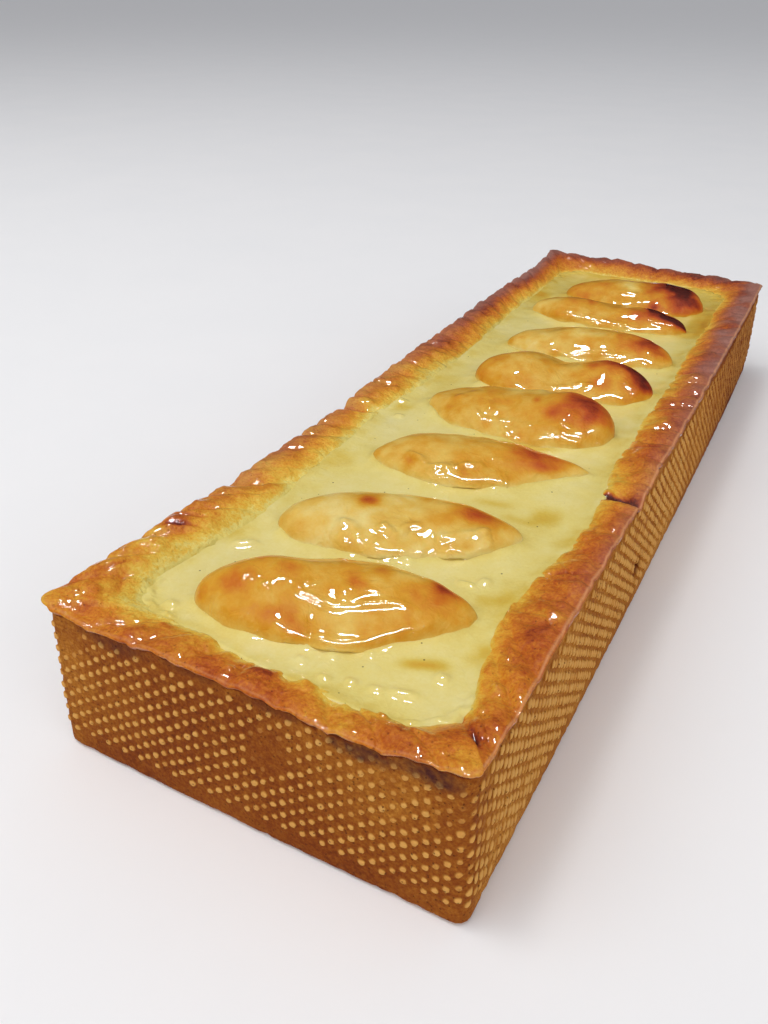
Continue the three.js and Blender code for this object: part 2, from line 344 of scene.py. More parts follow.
@dataclass(frozen=True)
class Case:
    """The form of the pastry case, from the same sizes and tables as the solid model."""

    width: float = 88.4
    length: float = 288.4
    corner_radius: float = 2.6
    draft: float = 0.9
    foot: float = 0.8
    floor: float = 6.0
    overhang: float = 0.5
    corner_overhang: float = 0.3
    corner_reach: float = 7.0
    lip_depth: float = 1.6
    lip_round: float = 0.4
    crown_at: float = 0.2
    slope_at: float = 0.6
    usual_breadth: float = 12.0
    inner_radius: float = 10.0
    crimp_spacing: float = 9.5
    crimp_depth: float = 0.7
    crimp_wander: float = 0.3
    crimp_run: float = 20.0
    lumpiness: float = 0.3
    lump_size: float = 7.0
    shore: float = 33.05
    centring: float = 0.865
    bow: Table = field(
        default_factory=lambda: {
            Side.NEAR: (0, 0.2, 0.3, 0.2, 0),
            Side.RIGHT: (0, 0.4, 0.7, 0.9, 1, 0.9, 0.6, 0),
            Side.FAR: (0, 0.2, 0.3, 0.2, 0),
            Side.LEFT: (2.8, 0.9, 0.6, 0.7, 0.7, 0.6, 0.4, 0),
        }
    )
    crown: Table = field(
        default_factory=lambda: {
            Side.NEAR: (37.4, 35.6, 35.4, 35.9, 35.7, 35.6, 35, 34.5, 34.4, 36, 36.4),
            Side.RIGHT: (
                *(36.4, 35.4, 36, 36.2, 36, 35.8, 36.4, 36.3),
                *(36, 36.1, 36.3, 36.4, 36.2, 36, 35.8, 36),
            ),
            Side.FAR: (38.8, 38.3, 38, 38.1, 37.8, 37.4, 37, 36.8, 36.6, 36.2, 36),
            Side.LEFT: (
                *(37.1, 36.9, 36.5, 35.8, 35.1, 35, 35.2, 36),
                *(36.4, 36.3, 36.6, 36.9, 36.8, 36.4, 36.8, 38.8),
            ),
        }
    )
    breadth: Table = field(
        default_factory=lambda: {
            Side.NEAR: (13, 12.4, 12.4, 12.4, 11.4, 10.4, 10.2, 9.2, 9.2, 9.8, 10.4),
            Side.RIGHT: (
                *(10.4, 9.4, 14.6, 13, 10.6, 11, 12.8, 13),
                *(13.4, 12.8, 13, 13.4, 13.4, 13.6, 13, 12),
            ),
            Side.FAR: (11, 11, 11, 11.5, 11.5, 11.5, 12, 12, 12, 12, 12),
            Side.LEFT: (13, 11.6, 13.4, 15.2, 14, 13.6, 12, 14, 14.4, 15, 13.4, 12.4, 12, 12.6, 12, 11),
        }
    )
    splits: tuple[Split, ...] = (
        Split(Side.LEFT, -34, 5, 2.4),
        Split(Side.LEFT, -86, 5, 1.2),
        Split(Side.RIGHT, -48.5, 4, 1.6),
    )

    @property
    def girth(self) -> float:
        """The length of the outline."""
        straight = 2 * (self.width + self.length) - 8 * self.corner_radius
        return straight + math.tau * self.corner_radius

    def stations(self, distance: Array) -> Stations:
        """Finds the stations at some distances round the outline.

        Args:
            distance: How far round from the left end of the near side.

        Returns:
            The stations there.
        """
        corner = math.pi / 2 * self.corner_radius
        runs = np.array([self.width, self.length] * 2) - 2 * self.corner_radius
        starts = np.concatenate(([0], np.cumsum(runs + corner)))[:4]
        side = np.searchsorted(starts, distance, side="right") - 1
        onward = distance - starts[side]
        share = np.clip(onward / runs[side], 0, 1)
        turned = np.clip((onward - runs[side]) / corner, 0, 1)
        return Stations(side, share, turned)

    def point(self, st: Stations, inset: Array | float, radius: Array | float) -> Array:
        """Places stations on the straight outline.

        Args:
            st: The stations.
            inset: How far inside the outline they are placed.
            radius: The plan radius of the corners.

        Returns:
            The places, one to a row.
        """
        out, run = OUT[st.side], RUN[st.side]
        size = np.array([self.width, self.length])
        half_run = np.abs(run @ size) / 2 - inset
        half_out = np.abs(out @ size) / 2 - inset
        angle = st.turned * math.pi / 2
        onward = (2 * st.share - 1) * (half_run - radius) + radius * np.sin(angle)
        outward = half_out - radius + radius * np.cos(angle)
        return out * outward[:, None] + run * onward[:, None]

    def read(self, table: Table, side: Array, place: Array) -> Array:
        """Reads a table of the sides at places beside them.

        Args:
            table: The table.
            side: The side that each place belongs to.
            place: The places.

        Returns:
            The table's level at each place.
        """
        shares = {Side.NEAR: place[:, 0] / self.width, Side.RIGHT: place[:, 1] / self.length}
        shares |= {Side.FAR: shares[Side.NEAR], Side.LEFT: shares[Side.RIGHT]}
        levels = [along(table[name], shares[name] + 0.5) for name in Side]
        return np.select([side == name.value for name in Side], levels)

    def bowed(self, place: Array) -> Array:
        """Pushes places out by the bow of the sides.

        Args:
            place: The places.

        Returns:
            The places where they really stand.
        """
        across, onward = 2 * place[:, 0] / self.width, 2 * place[:, 1] / self.length
        share = {Side.NEAR: -onward, Side.RIGHT: across, Side.FAR: onward, Side.LEFT: -across}
        moved = place + np.array([self.centring, 0])
        for side in Side:
            push = np.maximum(0, share[side]) * self.read(self.bow, np.full(len(place), side.value), place)
            moved = moved + push[:, None] * OUT[side.value]
        return moved

    def ring(self, st: Stations, inset: Array | float, radius: Array | float) -> Array:
        """Places stations on the bowed outline."""
        return self.bowed(self.point(st, inset, radius))

    def near_corner(self, place: Array) -> Array:
        """Is 1 at a corner of the case and falls to 0 at some distance from it."""
        inward = np.array([self.width, self.length]) / 2 - np.abs(place)
        return bump(np.hypot(*inward.T), self.corner_reach)

    def crimp(self, st: Stations, place: Array) -> Array:
        """Finds how close places are to the bottom of a crease across the rim.

        Args:
            st: The stations.
            place: Their places.

        Returns:
            A level for each, from 0 to 1 at the bottom.
        """
        onward = np.where(st.side % 2 == 0, place[:, 0], place[:, 1]) / self.crimp_spacing
        wander = self.crimp_wander * lumps(place[:, 1] / self.crimp_run, 4)
        return (1 - np.abs(np.sin(math.pi * (onward + wander)))) ** 2

    def split(self, st: Stations, place: Array) -> Array:
        """How deep the splits are at each place."""
        depths = [s.depth * bump(place[:, 1] - s.y, s.width) * (st.side == s.side.value) for s in self.splits]
        return np.max(depths, axis=0)

    def crown_height(self, st: Stations, place: Array) -> Array:
        """Reads the height of the rim's highest line.

        Args:
            st: The stations.
            place: Their places.

        Returns:
            The height at each station.
        """
        uneven = self.lumpiness * lumps((place[:, 0] + 2 * place[:, 1]) / self.lump_size, 3)
        pressed = self.crimp_depth * self.crimp(st, place) + self.split(st, place)
        return self.read(self.crown, st.side, place) + uneven - pressed

    def lip_inset(self, place: Array) -> Array:
        """How far inside the case's outline the lip's outer face stands."""
        return self.draft - self.overhang - self.corner_overhang * self.near_corner(place)

    def rim_radius(self, share: Array) -> Array:
        """The plan radius of the corners, at a share of the way across the rim."""
        shares = [self.crown_at, self.slope_at, 1.0]
        return np.interp(share, shares, [self.corner_radius, self.inner_radius / 2, self.inner_radius])


# ---- the pastry


@dataclass(frozen=True)
class Spot:
    """A mark on the top of the tart: a groove where `depth` is above 0 and a blister where it is below."""

    x: float
    y: float
    length: float
    width: float
    turn: float = 0.0
    depth: float = 0.0
    bake: float = 0.0

    def strength(self, x: Array, y: Array) -> Array:
        """Reads how strongly the mark shows.

        Args:
            x: Where each place is across the tart.
            y: Where it is along the tart.

        Returns:
            A strength for each place, from 0 to 1.
        """
        cosine, sine = math.cos(math.radians(self.turn)), math.sin(math.radians(self.turn))
        dx, dy = x - self.x, y - self.y
        onward = (dx * cosine + dy * sine) / (self.length / 2)
        across = (dy * cosine - dx * sine) / (self.width / 2)
        return np.exp(-(onward**4) - across**2 * 1.5)


@dataclass(frozen=True)
class Patch:
    """A part of a wall, by its middle, reach and amount: weaker dots, a hole dug in, or painted shade."""

    side: Side
    at: float
    z: float
    half_run: float
    half_height: float
    amount: float = 1.0

    def strength(self, side: Array, onward: Array, z: Array) -> Array:
        """How strongly the patch shows at each place, from 0 to `amount`."""
        far = np.hypot((onward - self.at) / self.half_run, (z - self.z) / self.half_height)
        return self.amount * smooth(1.6 - 1.6 * far * 0.75) * (side == self.side.value)


@dataclass
class Rim:
    """The uneven rim: a thin lip over the wall, a crown, and a slope down into the custard."""

    case: Case
    stations_count: int = 1700
    top_steps: int = 36
    crowding: float = 1.12
    fullness: float = 1.35
    lump_height: float = 0.5
    lump_size: float = 5.6
    knob_height: float = 0.2
    knob_size: float = 2.6
    wrinkle_height: float = 0.1
    wrinkle_size: float = 1.7
    fin_height: float = 0.14
    fin_size: float = 4.0
    scallop_height: float = 0.34
    scallop_size: float = 6.5
    crease_height: tuple[float, ...] = (0.1, 0.7, 0.2, 0.15)
    pale_edge: tuple[float, ...] = (0.3, 0.8, 0.1, 0.1)
    dip: float = 0.5
    wet_blister: float = -0.65
    blisters: int = 110
    spots: tuple[Spot, ...] = listed(
        Spot,
        (1.5, -137.8, 6, 4.4, 10, -0.5, 0.6), (2.6, -138, 3, 2, 10, 0.2, 0.15),
        (-21, -136, 3, 2.2, 0, -0.2, 0.4), (28, -138, 16, 6, 0, 0, 0.33), (39, -135, 10, 10, 0, 0, 0.32),
        (29.5, -137, 1.6, 6, 10, 0.5, 0.25), (39.5, -134, 9.5, 1.3, -48, 0.9, 0.5),
        (36.6, -130.6, 1.6, 1.4, 0, 0.3, 0.6), (-41, -108.5, 5, 8, 10, -0.6, 0.55),
        (-39.5, -109, 7, 1.1, 35, 0.7, 0.5), (-40.5, -105.5, 7, 1.1, 30, 0.6, 0.4),
        (-37, -131, 8, 1.6, -60, 0.5, 0.3), (-41, -128, 7, 1.2, 70, 0.5, 0.35),
        (-38, -136.5, 5, 3, -50, -0.5, 0.35), (-33, -84, 5, 6, 0, -0.35, 0.35),
        (-35, -73, 6, 7, 0, -0.3, 0.2), (-31, -92, 3.4, 3.4, 0, -0.25, 0.4),
        (38.8, -48, 10.5, 3.4, -2, 0.9, 2.6), (37, -85, 12, 1.4, 14, 0.8, 0.3),
        (39.5, -21, 6, 1.2, -8, 0.8, 0.5), (33, -119, 7, 6, 30, -0.45, 0.25), (38, -100, 9, 1.2, -6, 0.35, 0),
        (41, -100, 7, 5, 0, 0, -0.45), (37, -70, 10, 1.3, 4, 0.6, 0.2), (38, 8, 9, 1.4, -6, 0.7, 0.4),
        (38, 38, 9, 1.4, -6, 0.7, 0.4), (-40, -34, 9, 2.6, 6, 0.7, 0.6), (-41, -31, 8, 4, 6, -0.5, -0.1),
        (-33.9, -126.1, 2.4, 1.6, 20, -1.1), (-31, -124, 1.8, 1.3, -20, -0.95),
        (-31.5, -108.7, 2.4, 1.6, 0, -1.1), (-41.8, -138.5, 3.4, 1.3, 10, -0.7),
        (39.7, -122.6, 2.6, 2.2, 20, -0.8), (39.9, -122.6, 1.3, 1.1, 20, 0.4),
        (37.5, -112.2, 1.6, 1.3, 0, -0.8), (24.8, -136.4, 2, 1.4, 10, -0.9),
        (-3.3, -140.6, 1.6, 1.2, 0, -0.5), (32.5, -138, 4, 1.6, 10, -0.3),
    )

    def __post_init__(self) -> None:
        """Draws the unevenness and scatters small blisters."""
        self.coarse, self.fine = Noise(21), Noise(22)
        random = np.random.default_rng(23)
        st = self.case.stations(random.uniform(0, self.case.girth, self.blisters))
        places = self.case.ring(st, random.uniform(1.5, 10, self.blisters), 3.0)
        sizes = random.uniform(1.4, 3.2, self.blisters)
        heights = random.uniform(0.15, 0.4, self.blisters)
        turns = random.uniform(0, 180, self.blisters)
        browner = random.uniform(-0.05, 0.18, self.blisters)
        rows = zip(places, sizes, heights, turns, browner)
        own = (Spot(*place, size, 0.7 * size, turn, -high, bake) for place, size, high, turn, bake in rows)
        self.marks = (*self.spots, *own)

    def section(self) -> list[tuple[float, float]]:
        """Lists the ring of the section.

        Returns:
            For each point, its share across the rim and its drop below the rim's surface there.
        """
        shares = np.linspace(0, 1, self.top_steps) ** self.crowding
        top = [(float(share), 0.0) for share in shares]
        hidden = [(1.0, 0.9), (1.0, 2.5), (0.8, 3.6), (0.5, 4.2)]
        return top + hidden

    def slope(self, share: Array) -> Array:
        """The height of the rim at a share of the way across it: 1 at the crown and 0 at the custard."""
        down = np.clip((share - self.case.crown_at) / (1 - self.case.crown_at), 0, 1)
        return (1 - down**2) ** self.fullness

    def relief(self, st: Stations, share: Array, place: Array) -> Array:
        """Raises the unevenness of the rim's top.

        Args:
            st: The stations.
            share: How far across the rim each is.
            place: Their places.

        Returns:
            How far the top stands above its plain form.
        """
        x, y = place.T
        flat = np.column_stack([x, y, 6 * share])
        across = np.where((st.side % 2 == 0)[:, None], [[1.0, 0.35, 1.0]], [[0.35, 1.0, 1.0]]) * flat
        sides = [st.side == side.value for side in Side]
        inner = smooth((1 - share) * 6)
        wrinkles = self.wrinkle_height * self.fine.at(across, self.wrinkle_size, 2)
        wrinkles += self.knob_height * self.fine.at(flat, self.knob_size, 2)
        body = self.lump_height * self.coarse.at(flat, self.lump_size, 3) * (0.35 + 0.65 * smooth(share * 4))
        ruffled = self.fine.at(flat + 30, self.scallop_size, 2)
        scallops = self.scallop_height * ruffled * bump(share - 0.86, 0.3)
        fin = self.fin_height * bump(share - 0.035, 0.05) * (0.6 + 0.5 * self.fine.at(flat, self.fin_size))
        crease = np.select(sides, self.crease_height) * self.case.crimp(st, place) * bump(share - 0.45, 0.5)
        marks = sum(spot.depth * spot.strength(x, y) for spot in self.marks)
        return (wrinkles + body + scallops - crease) * inner + fin - marks * smooth((1 - share) * 14)

    def lip(self, st: Stations) -> Array:
        """Finds the ragged edge of the lip.

        Args:
            st: The stations.

        Returns:
            How far inside the case's outline the edge stands at each station.
        """
        usual = self.case.point(st, 0, self.case.corner_radius)
        line = np.column_stack([usual, 0 * usual[:, 0]])
        ragged = 0.26 * self.fine.at(line, 1.6, 2) + 0.24 * self.coarse.at(line, 6, 2)
        return self.case.lip_inset(usual) + 0.08 + np.maximum(0, ragged)

    def top(self, distance: Array, share: Array) -> Array:
        """Places points on the rim's top.

        Args:
            distance: How far round the case each is.
            share: How far across the rim each is, from 0 at the lip to 1 at the custard.

        Returns:
            The points.
        """
        case = self.case
        st = case.stations(distance)
        crown_line = case.point(st, case.crown_at * case.usual_breadth, case.corner_radius)
        radius = case.rim_radius(share)
        breadth = case.read(case.breadth, st.side, case.point(st, share * case.usual_breadth, radius))
        lip = self.lip(st)
        near_lip = np.clip(share / case.crown_at, 0, 1)
        outer = lip + (case.crown_at * breadth - lip) * near_lip
        inset = np.where(share < case.crown_at, outer, share * breadth)
        place = case.ring(st, inset, radius)
        height = case.shore + (case.crown_height(st, crown_line) - case.shore) * self.slope(share)
        height += self.relief(st, share, place) - case.lip_round * (1 - near_lip) ** 2
        height -= self.dip * smooth((share - 0.86) / 0.14)
        return np.column_stack([place, height])

    def roof(self, distance: Array) -> Array:
        """The lowest height of the rim's top over the wall, all round the case."""
        shares = (0.03, 0.06, 0.1, 0.14, 0.18)
        return np.min([self.top(distance, np.full(len(distance), share))[:, 2] for share in shares], axis=0)

    def skin(self) -> Skin:
        """Makes the rim as a closed ring.

        Returns:
            The ring, with its levels of baking, painted shade and sheen, and wetness.
        """
        distance = np.arange(self.stations_count) * self.case.girth / self.stations_count
        section = np.array(self.section())
        st = self.case.stations(distance)
        share, drop = (np.tile(part, len(distance)) for part in section.T)
        points = self.top(np.repeat(distance, len(section)), share) - np.outer(drop, [0, 0, 1])
        points = points.reshape(len(distance), len(section), 3)
        under = self.underside(st, points[:, 0, 2])
        points = np.concatenate([under, points], axis=1)
        share = np.concatenate([np.zeros(under.shape[:2]), share.reshape(len(distance), -1)], axis=1)
        count = points.shape[1]
        faces = grid_faces(len(distance), count, wrap_rows=True, wrap_columns=True)[:, ::-1]
        lowness = np.tile(np.arange(count) < under.shape[1] - 2, len(distance))
        flat = points.reshape(-1, 3)
        return Skin(flat, [faces], self.masks(flat, share.ravel(), np.repeat(st.side, count), lowness))

    def underside(self, st: Stations, top: Array) -> Array:
        """Makes the lip's hidden and outer points, from inside the wall out and up to its edge.

        Args:
            st: The stations.
            top: The height of the lip's upper edge at each.

        Returns:
            The points by station, then by step.
        """
        steps = [(2.6, 3.2), (1.3, 2.2), (0.7, 1.4), (0.38, 0.8), (0.14, 0.52), (0.02, 0.34), (-0.02, 0.17)]
        lip = self.lip(st)
        flat = self.case.point(st, 0, self.case.corner_radius)
        rough = self.fine.at(np.column_stack([flat, 0 * top]), 2.2, 2)
        rings = []
        for inward, drop in steps:
            depth = drop * (1 + 0.4 * rough * (drop < 1))
            place = self.case.ring(st, lip + inward, self.case.corner_radius)
            rings.append(np.column_stack([place, top - depth]))
        return np.stack(rings, axis=1)

    def masks(self, points: Array, share: Array, side: Array, low: Array) -> dict[str, Array]:
        """Sets the levels that the finish reads.

        Args:
            points: The points of the rim.
            share: How far across the rim each is.
            side: The side of the case that each belongs to.
            low: Whether each is under the lip.

        Returns:
            The levels of baking, of painted shade and sheen, and of wetness, and that of the rim itself with
            its pale edge.
        """
        x, y, z = points.T
        far = smooth((y + 30) / 150)
        sides = [side == name.value for name in Side]
        right, left = side == Side.RIGHT.value, side == Side.LEFT.value
        slope = 0.26 * smooth((share - 0.3) / 0.6) + 0.2 * smooth((share - 0.84) / 0.14)
        bake = 0.54 - slope + 0.15 * self.coarse.at(points, 10, 3) + 0.24 * far * smooth(1.3 - share * 1.4)
        bake -= 0.12 * smooth(1 - (z - self.case.shore - 0.5) / 0.7) * smooth((share - 0.5) / 0.2)
        bake += 0.09 * right + left * (0.14 * smooth((y + 30) / 60) - 0.12) + 0.06 * smooth((y - 120) / 10)
        bake += sum(spot.bake * spot.strength(x, y) for spot in self.marks if spot.bake) * 0.55
        corner = self.case.near_corner(np.column_stack([x, y]))
        bake += 0.6 * corner * (y > 0)
        uneven = 0.6 + 0.5 * self.coarse.at(points + 50, 7, 2)
        # Painted sheen: a milky purple-pink veil on the far and outer rim, for the glaze's reflection of the
        # bright surround; and painted shade on the lip's underside.
        shade_and_sheen = (1.05 + 0.7 * right) * far * smooth(1.1 + 0.4 * right - share * 1.8) * uneven
        shade_and_sheen += 0.45 * right * smooth(1.0 - share * 2.0) * smooth((y + 120) / 60)
        shade_and_sheen += 0.4 * left * smooth(1.1 - share * 2.0) * smooth((y + 110) / 40) + 0.7 * low
        edge = bump(share - 0.04, 0.045) * np.select(sides, self.pale_edge) * (1 - low)
        levels = {"dot": np.zeros(len(points)), "tone": np.clip(bake, 0, 1), "shade_and_sheen": np.clip(shade_and_sheen, 0, 1.4)}
        shiny = [spot.strength(x, y) ** 0.25 for spot in self.spots if spot.depth <= self.wet_blister]
        patchy = smooth(0.5 + 2.2 * self.coarse.at(points + 130, 6.0)) * (1 - 0.9 * smooth((y - 40) / 70))
        return levels | {"rim": 1 + edge, "wet": np.maximum(np.max(shiny, axis=0), patchy)}


CELL_POINTS = 12


@dataclass
class Wall:
    """The outside of the case with its dots, and its floor and hollow.

    The dots stand in a lattice of cells, with `CELL_POINTS` points to the border of a cell and as many to the
    foot of its dot. Every second column of cells is shifted by half a cell.
    """

    case: Case
    rim: Rim
    low: Array
    high: Array
    dot_spacing: float = 2.02
    dot_pitch: float = 3.04
    dot_rows: int = 9
    plain_band: float = 4.0
    sink: float = 0.16
    hole_depth: float = 1.3
    headroom: float = 1.2
    tuck: float = 0.4
    sample_count: int = 3000
    corner_skip: float = 2.2
    near_corner_y: float = -143.0
    dot_radius: dict[Side, float] = field(
        default_factory=lambda: {Side.NEAR: 0.95, Side.RIGHT: 1.08, Side.FAR: 0.85, Side.LEFT: 0.85}
    )
    dot_edge: dict[Side, float] = field(
        default_factory=lambda: {Side.NEAR: 0.6, Side.RIGHT: 0.76, Side.FAR: 0.7, Side.LEFT: 0.7}
    )
    dot_stretch: dict[Side, float] = field(
        default_factory=lambda: {Side.NEAR: 0.82, Side.RIGHT: 1.25, Side.FAR: 1.0, Side.LEFT: 1.0}
    )
    dot_height: dict[Side, float] = field(
        default_factory=lambda: {Side.NEAR: 0.4, Side.RIGHT: 0.58, Side.FAR: 0.45, Side.LEFT: 0.45}
    )
    faint: tuple[Patch, ...] = listed(
        Patch,
        (Side.NEAR, -43, 30, 9, 6, 0.9), (Side.NEAR, -45, 20, 3.5, 8, 0.5), (Side.NEAR, 5, 22, 5, 6, 0.9),
        (Side.NEAR, 40, 26, 4, 4, 0.5), (Side.NEAR, 30, 27, 4, 3, 0.5), (Side.RIGHT, -140, 22, 5, 12, 0.4),
    )
    holes: tuple[Patch, ...] = listed(
        Patch,
        (Side.RIGHT, -39, 11.2, 3.2, 2.4, 1.2), (Side.RIGHT, -42.5, 12.6, 1.4, 1.2, 0.8),
    )
    # Painted shadow: dark patches on the near wall just under the rim's lip, where its shade falls.
    lip_shadows: tuple[Patch, ...] = listed(
        Patch,
        (Side.NEAR, -28, 33, 8, 2.4, 0.9), (Side.NEAR, 24, 31.6, 6.5, 2.2, 1.4),
        (Side.NEAR, 37, 32.6, 6.5, 2.4, 1.4), (Side.NEAR, 8, 33, 7, 1.6, 0.7),
        (Side.NEAR, -10, 34, 7, 1.6, 0.6),
    )

    def __post_init__(self) -> None:
        """Sets the lattice out round the case, draws the unevenness and finds where the wall ends."""
        self.columns = 2 * round(self.case.girth / self.dot_spacing / 2)
        self.spacing = self.case.girth / self.columns
        self.quarter = self.dot_pitch / 4
        self.steps = 4 * self.dot_rows + 2
        self.band_top = self.plain_band + self.quarter * self.steps
        self.coarse, self.fine = Noise(11), Noise(12)
        self.random = np.random.default_rng(13)
        self.samples = np.arange(self.sample_count) * self.case.girth / self.sample_count
        st = self.case.stations(self.samples)
        crown = self.case.crown_height(st, self.case.point(st, 0, self.case.corner_radius))
        self.ends = np.minimum(crown, self.rim.roof(self.samples) + 0.4)

    def onward(self, st: Stations, place: Array) -> Array:
        """The coordinate along each place's own side."""
        return np.where(st.side % 2 == 0, place[:, 0], place[:, 1])

    def crown(self, distance: Array) -> Array:
        """The height under which the wall ends, `headroom` lower."""
        return np.interp(distance, self.samples, self.ends, period=self.case.girth)

    def surface(self, distance: Array, z: Array, proud: Array | float = 0.0) -> Array:
        """Places points on the wall.

        Args:
            distance: How far round the case.
            z: Their height.
            proud: How far they stand out of the wall.

        Returns:
            The points.
        """
        case = self.case
        st = case.stations(np.mod(distance, case.girth))
        usual = case.point(st, 0, case.corner_radius)
        crown = self.crown(distance)
        squeeze = np.maximum(0, self.band_top - crown + self.headroom)
        z = z - squeeze * smooth((z - self.band_top + 7) / 7)
        lean = case.draft * np.clip((z - case.foot) / (crown - 2 * case.lip_depth - case.foot), 0, 1)
        bevel = (case.foot - 0.1) * smooth(1 - z / case.foot)
        flat = np.column_stack([usual, z])
        rough = 0.16 * self.coarse.at(flat, 14, 2) + 0.08 * self.fine.at(flat, 2.4, 2)
        hole = sum(patch.strength(st.side, self.onward(st, usual), z) for patch in self.holes)
        ragged = 0.3 * np.maximum(0, self.fine.at(flat, 1.7, 2)) * smooth(1 - z / 2.2)
        inset = lean + bevel + self.sink - rough * smooth(z / 3) - proud + self.hole_depth * hole + ragged
        place = case.ring(st, np.maximum(inset, -0.4 * smooth(z / 5)), case.corner_radius)
        return np.column_stack([np.clip(place, self.low[:2], self.high[:2]), z])

    def dot_strength(self, distance: Array, z: Array) -> Array:
        """Finds how well each dot is formed.

        Args:
            distance: How far round the case each is.
            z: Its height.

        Returns:
            A strength for each dot, from 0 where it is missing to 1.
        """
        st = self.case.stations(np.mod(distance, self.case.girth))
        usual = self.case.point(st, 0, self.case.corner_radius)
        flat = np.column_stack([usual, z])
        missing = sum(patch.strength(st.side, self.onward(st, usual), z) for patch in self.faint)
        missing = missing + 0.3 * smooth(2.2 * self.coarse.at(flat + 40, 11, 2) - 1.1)
        missing = missing + 0.35 * smooth(4.0 * self.fine.at(flat, 4.0) - 2.7)
        return np.clip(1.1 - missing, 0, 1) * self.random.uniform(0.82, 1.0, len(z))

    def line(self, column: Array, step: Array | int) -> Array:
        """The index of a point on the line before a column of cells."""
        return (column % self.columns) * (self.steps + 1) + step

    def middle(self, column: Array, row: Array | int) -> Array:
        """The index of a point on the middle line of a column, where one cell ends and the next starts."""
        return self.columns * (self.steps + 1) + column * (self.dot_rows + 2) + row

    def dots(self) -> Skin:
        """Makes the band of cells, each with a dot.

        Returns:
            The band with open edges. Its first points are the lines between the columns, then the middles.
        """
        line, middle = self.line, self.middle
        columns = np.arange(self.columns)
        heights = self.plain_band + self.quarter * np.arange(self.steps + 1)
        lines = np.stack(np.meshgrid(columns * self.spacing, heights, indexing="ij"), axis=2).reshape(-1, 2)
        ends = 2 * (columns % 2)
        middle_steps = ends[:, None] + 4 * np.arange(self.dot_rows + 1)[None, :]
        caps = np.where(columns % 2 == 0, self.steps, 0)[:, None]
        middle_steps = np.concatenate([middle_steps, caps], axis=1)
        middle_x = np.broadcast_to((columns[:, None] + 0.5) * self.spacing, middle_steps.shape)
        middles = np.stack([middle_x, heights[middle_steps]], axis=2).reshape(-1, 2)

        column, row = (part.ravel() for part in np.meshgrid(columns, np.arange(self.dot_rows), indexing="ij"))
        low = ends[column] + 4 * row
        border = [line(column + 1, low + step) for step in (2, 3, 4)] + [middle(column, row + 1)]
        border += [line(column, low + step) for step in (4, 3, 2, 1, 0)] + [middle(column, row)]
        border += [line(column + 1, low + step) for step in (0, 1)]
        border = np.stack(border, axis=1)

        centre = np.column_stack([(column + 0.5) * self.spacing, heights[low + 2]])
        centre += self.random.normal(0, 1, centre.shape) * [0.05, 0.07]
        strength = self.dot_strength(*centre.T)
        side = self.case.stations(np.mod(centre[:, 0], self.case.girth)).side
        usual_radius, usual_height, edge, stretch = (
            np.select([side == name.value for name in Side], [sizes[name] for name in Side])
            for sizes in (self.dot_radius, self.dot_height, self.dot_edge, self.dot_stretch)
        )
        radius = usual_radius * (0.86 + 0.22 * self.random.random(len(column))) * (0.8 + 0.2 * strength)
        spokes = self.spokes(radius, stretch)
        foot = (centre[:, None] + spokes).reshape(-1, 2)
        shoulder = (centre[:, None] + edge[:, None, None] * spokes).reshape(-1, 2)

        height = usual_height * strength * (0.75 + 0.35 * self.random.random(len(column)))
        flat = np.concatenate([lines, middles, foot, shoulder, centre])
        plain = np.zeros(len(lines) + len(middles))
        foot_height, foot_level = 0.08 * height, 0.12 * strength
        around = [np.repeat(part, CELL_POINTS) for part in (foot_height, 0.76 * height, foot_level, strength)]
        proud = np.concatenate([plain, *around[:2], height])
        level = np.concatenate([plain, *around[2:], strength])
        first_foot = len(lines) + len(middles)
        first_shoulder, first_top = first_foot + len(foot), first_foot + len(foot) + len(shoulder)
        cell = CELL_POINTS * np.arange(len(column))[:, None]
        turn = np.arange(CELL_POINTS)[None, :]
        next_turn = (turn + 1) % CELL_POINTS
        feet, shoulders = first_foot + cell, first_shoulder + cell
        quads = [
            np.stack([feet + turn, border[:, turn[0]], border[:, next_turn[0]], feet + next_turn], axis=2),
            np.stack([shoulders + turn, feet + turn, feet + next_turn, shoulders + next_turn], axis=2),
        ]
        tops = first_top + np.arange(len(column))[:, None] + 0 * turn
        fans = np.stack([tops, shoulders + turn, shoulders + next_turn], axis=2)

        even, odd = columns[columns % 2 == 0], columns[columns % 2 == 1]
        halves = [self.half_cells(even, self.steps - 2, self.dot_rows, self.dot_rows + 1)]
        halves += [self.half_cells(odd, 0, self.dot_rows + 1, 0)]
        quads = [faces.reshape(-1, 4) for faces in quads] + [half[0] for half in halves]
        triangles = [fans.reshape(-1, 3)] + [half[1] for half in halves]
        points = self.surface(flat[:, 0], flat[:, 1], proud)
        return Skin(points, [np.concatenate(quads), np.concatenate(triangles)], {"dot": level})

    def spokes(self, radius: Array, stretch: Array) -> Array:
        """Spreads the points round the foot of each dot.

        Args:
            radius: The radius of each dot.
            stretch: How much longer each dot is along the lattice's falling diagonal.

        Returns:
            The points from the dot's middle, kept inside its cell.
        """
        angles = np.arange(CELL_POINTS) * math.tau / CELL_POINTS
        round_points = np.column_stack([np.cos(angles), np.sin(angles)])
        uneven = 1 + 0.09 * self.random.normal(0, 1, (len(radius), CELL_POINTS))
        diagonal = np.array([self.spacing, -2 * self.quarter])
        diagonal /= np.linalg.norm(diagonal)
        onward = round_points @ diagonal
        longer = round_points + (stretch[:, None] - 1)[..., None] * onward[:, None] * diagonal
        points = radius[:, None, None] * uneven[..., None] * longer
        reach = 0.485 * self.spacing
        points[..., 0] = np.clip(points[..., 0], -reach, reach)
        return points

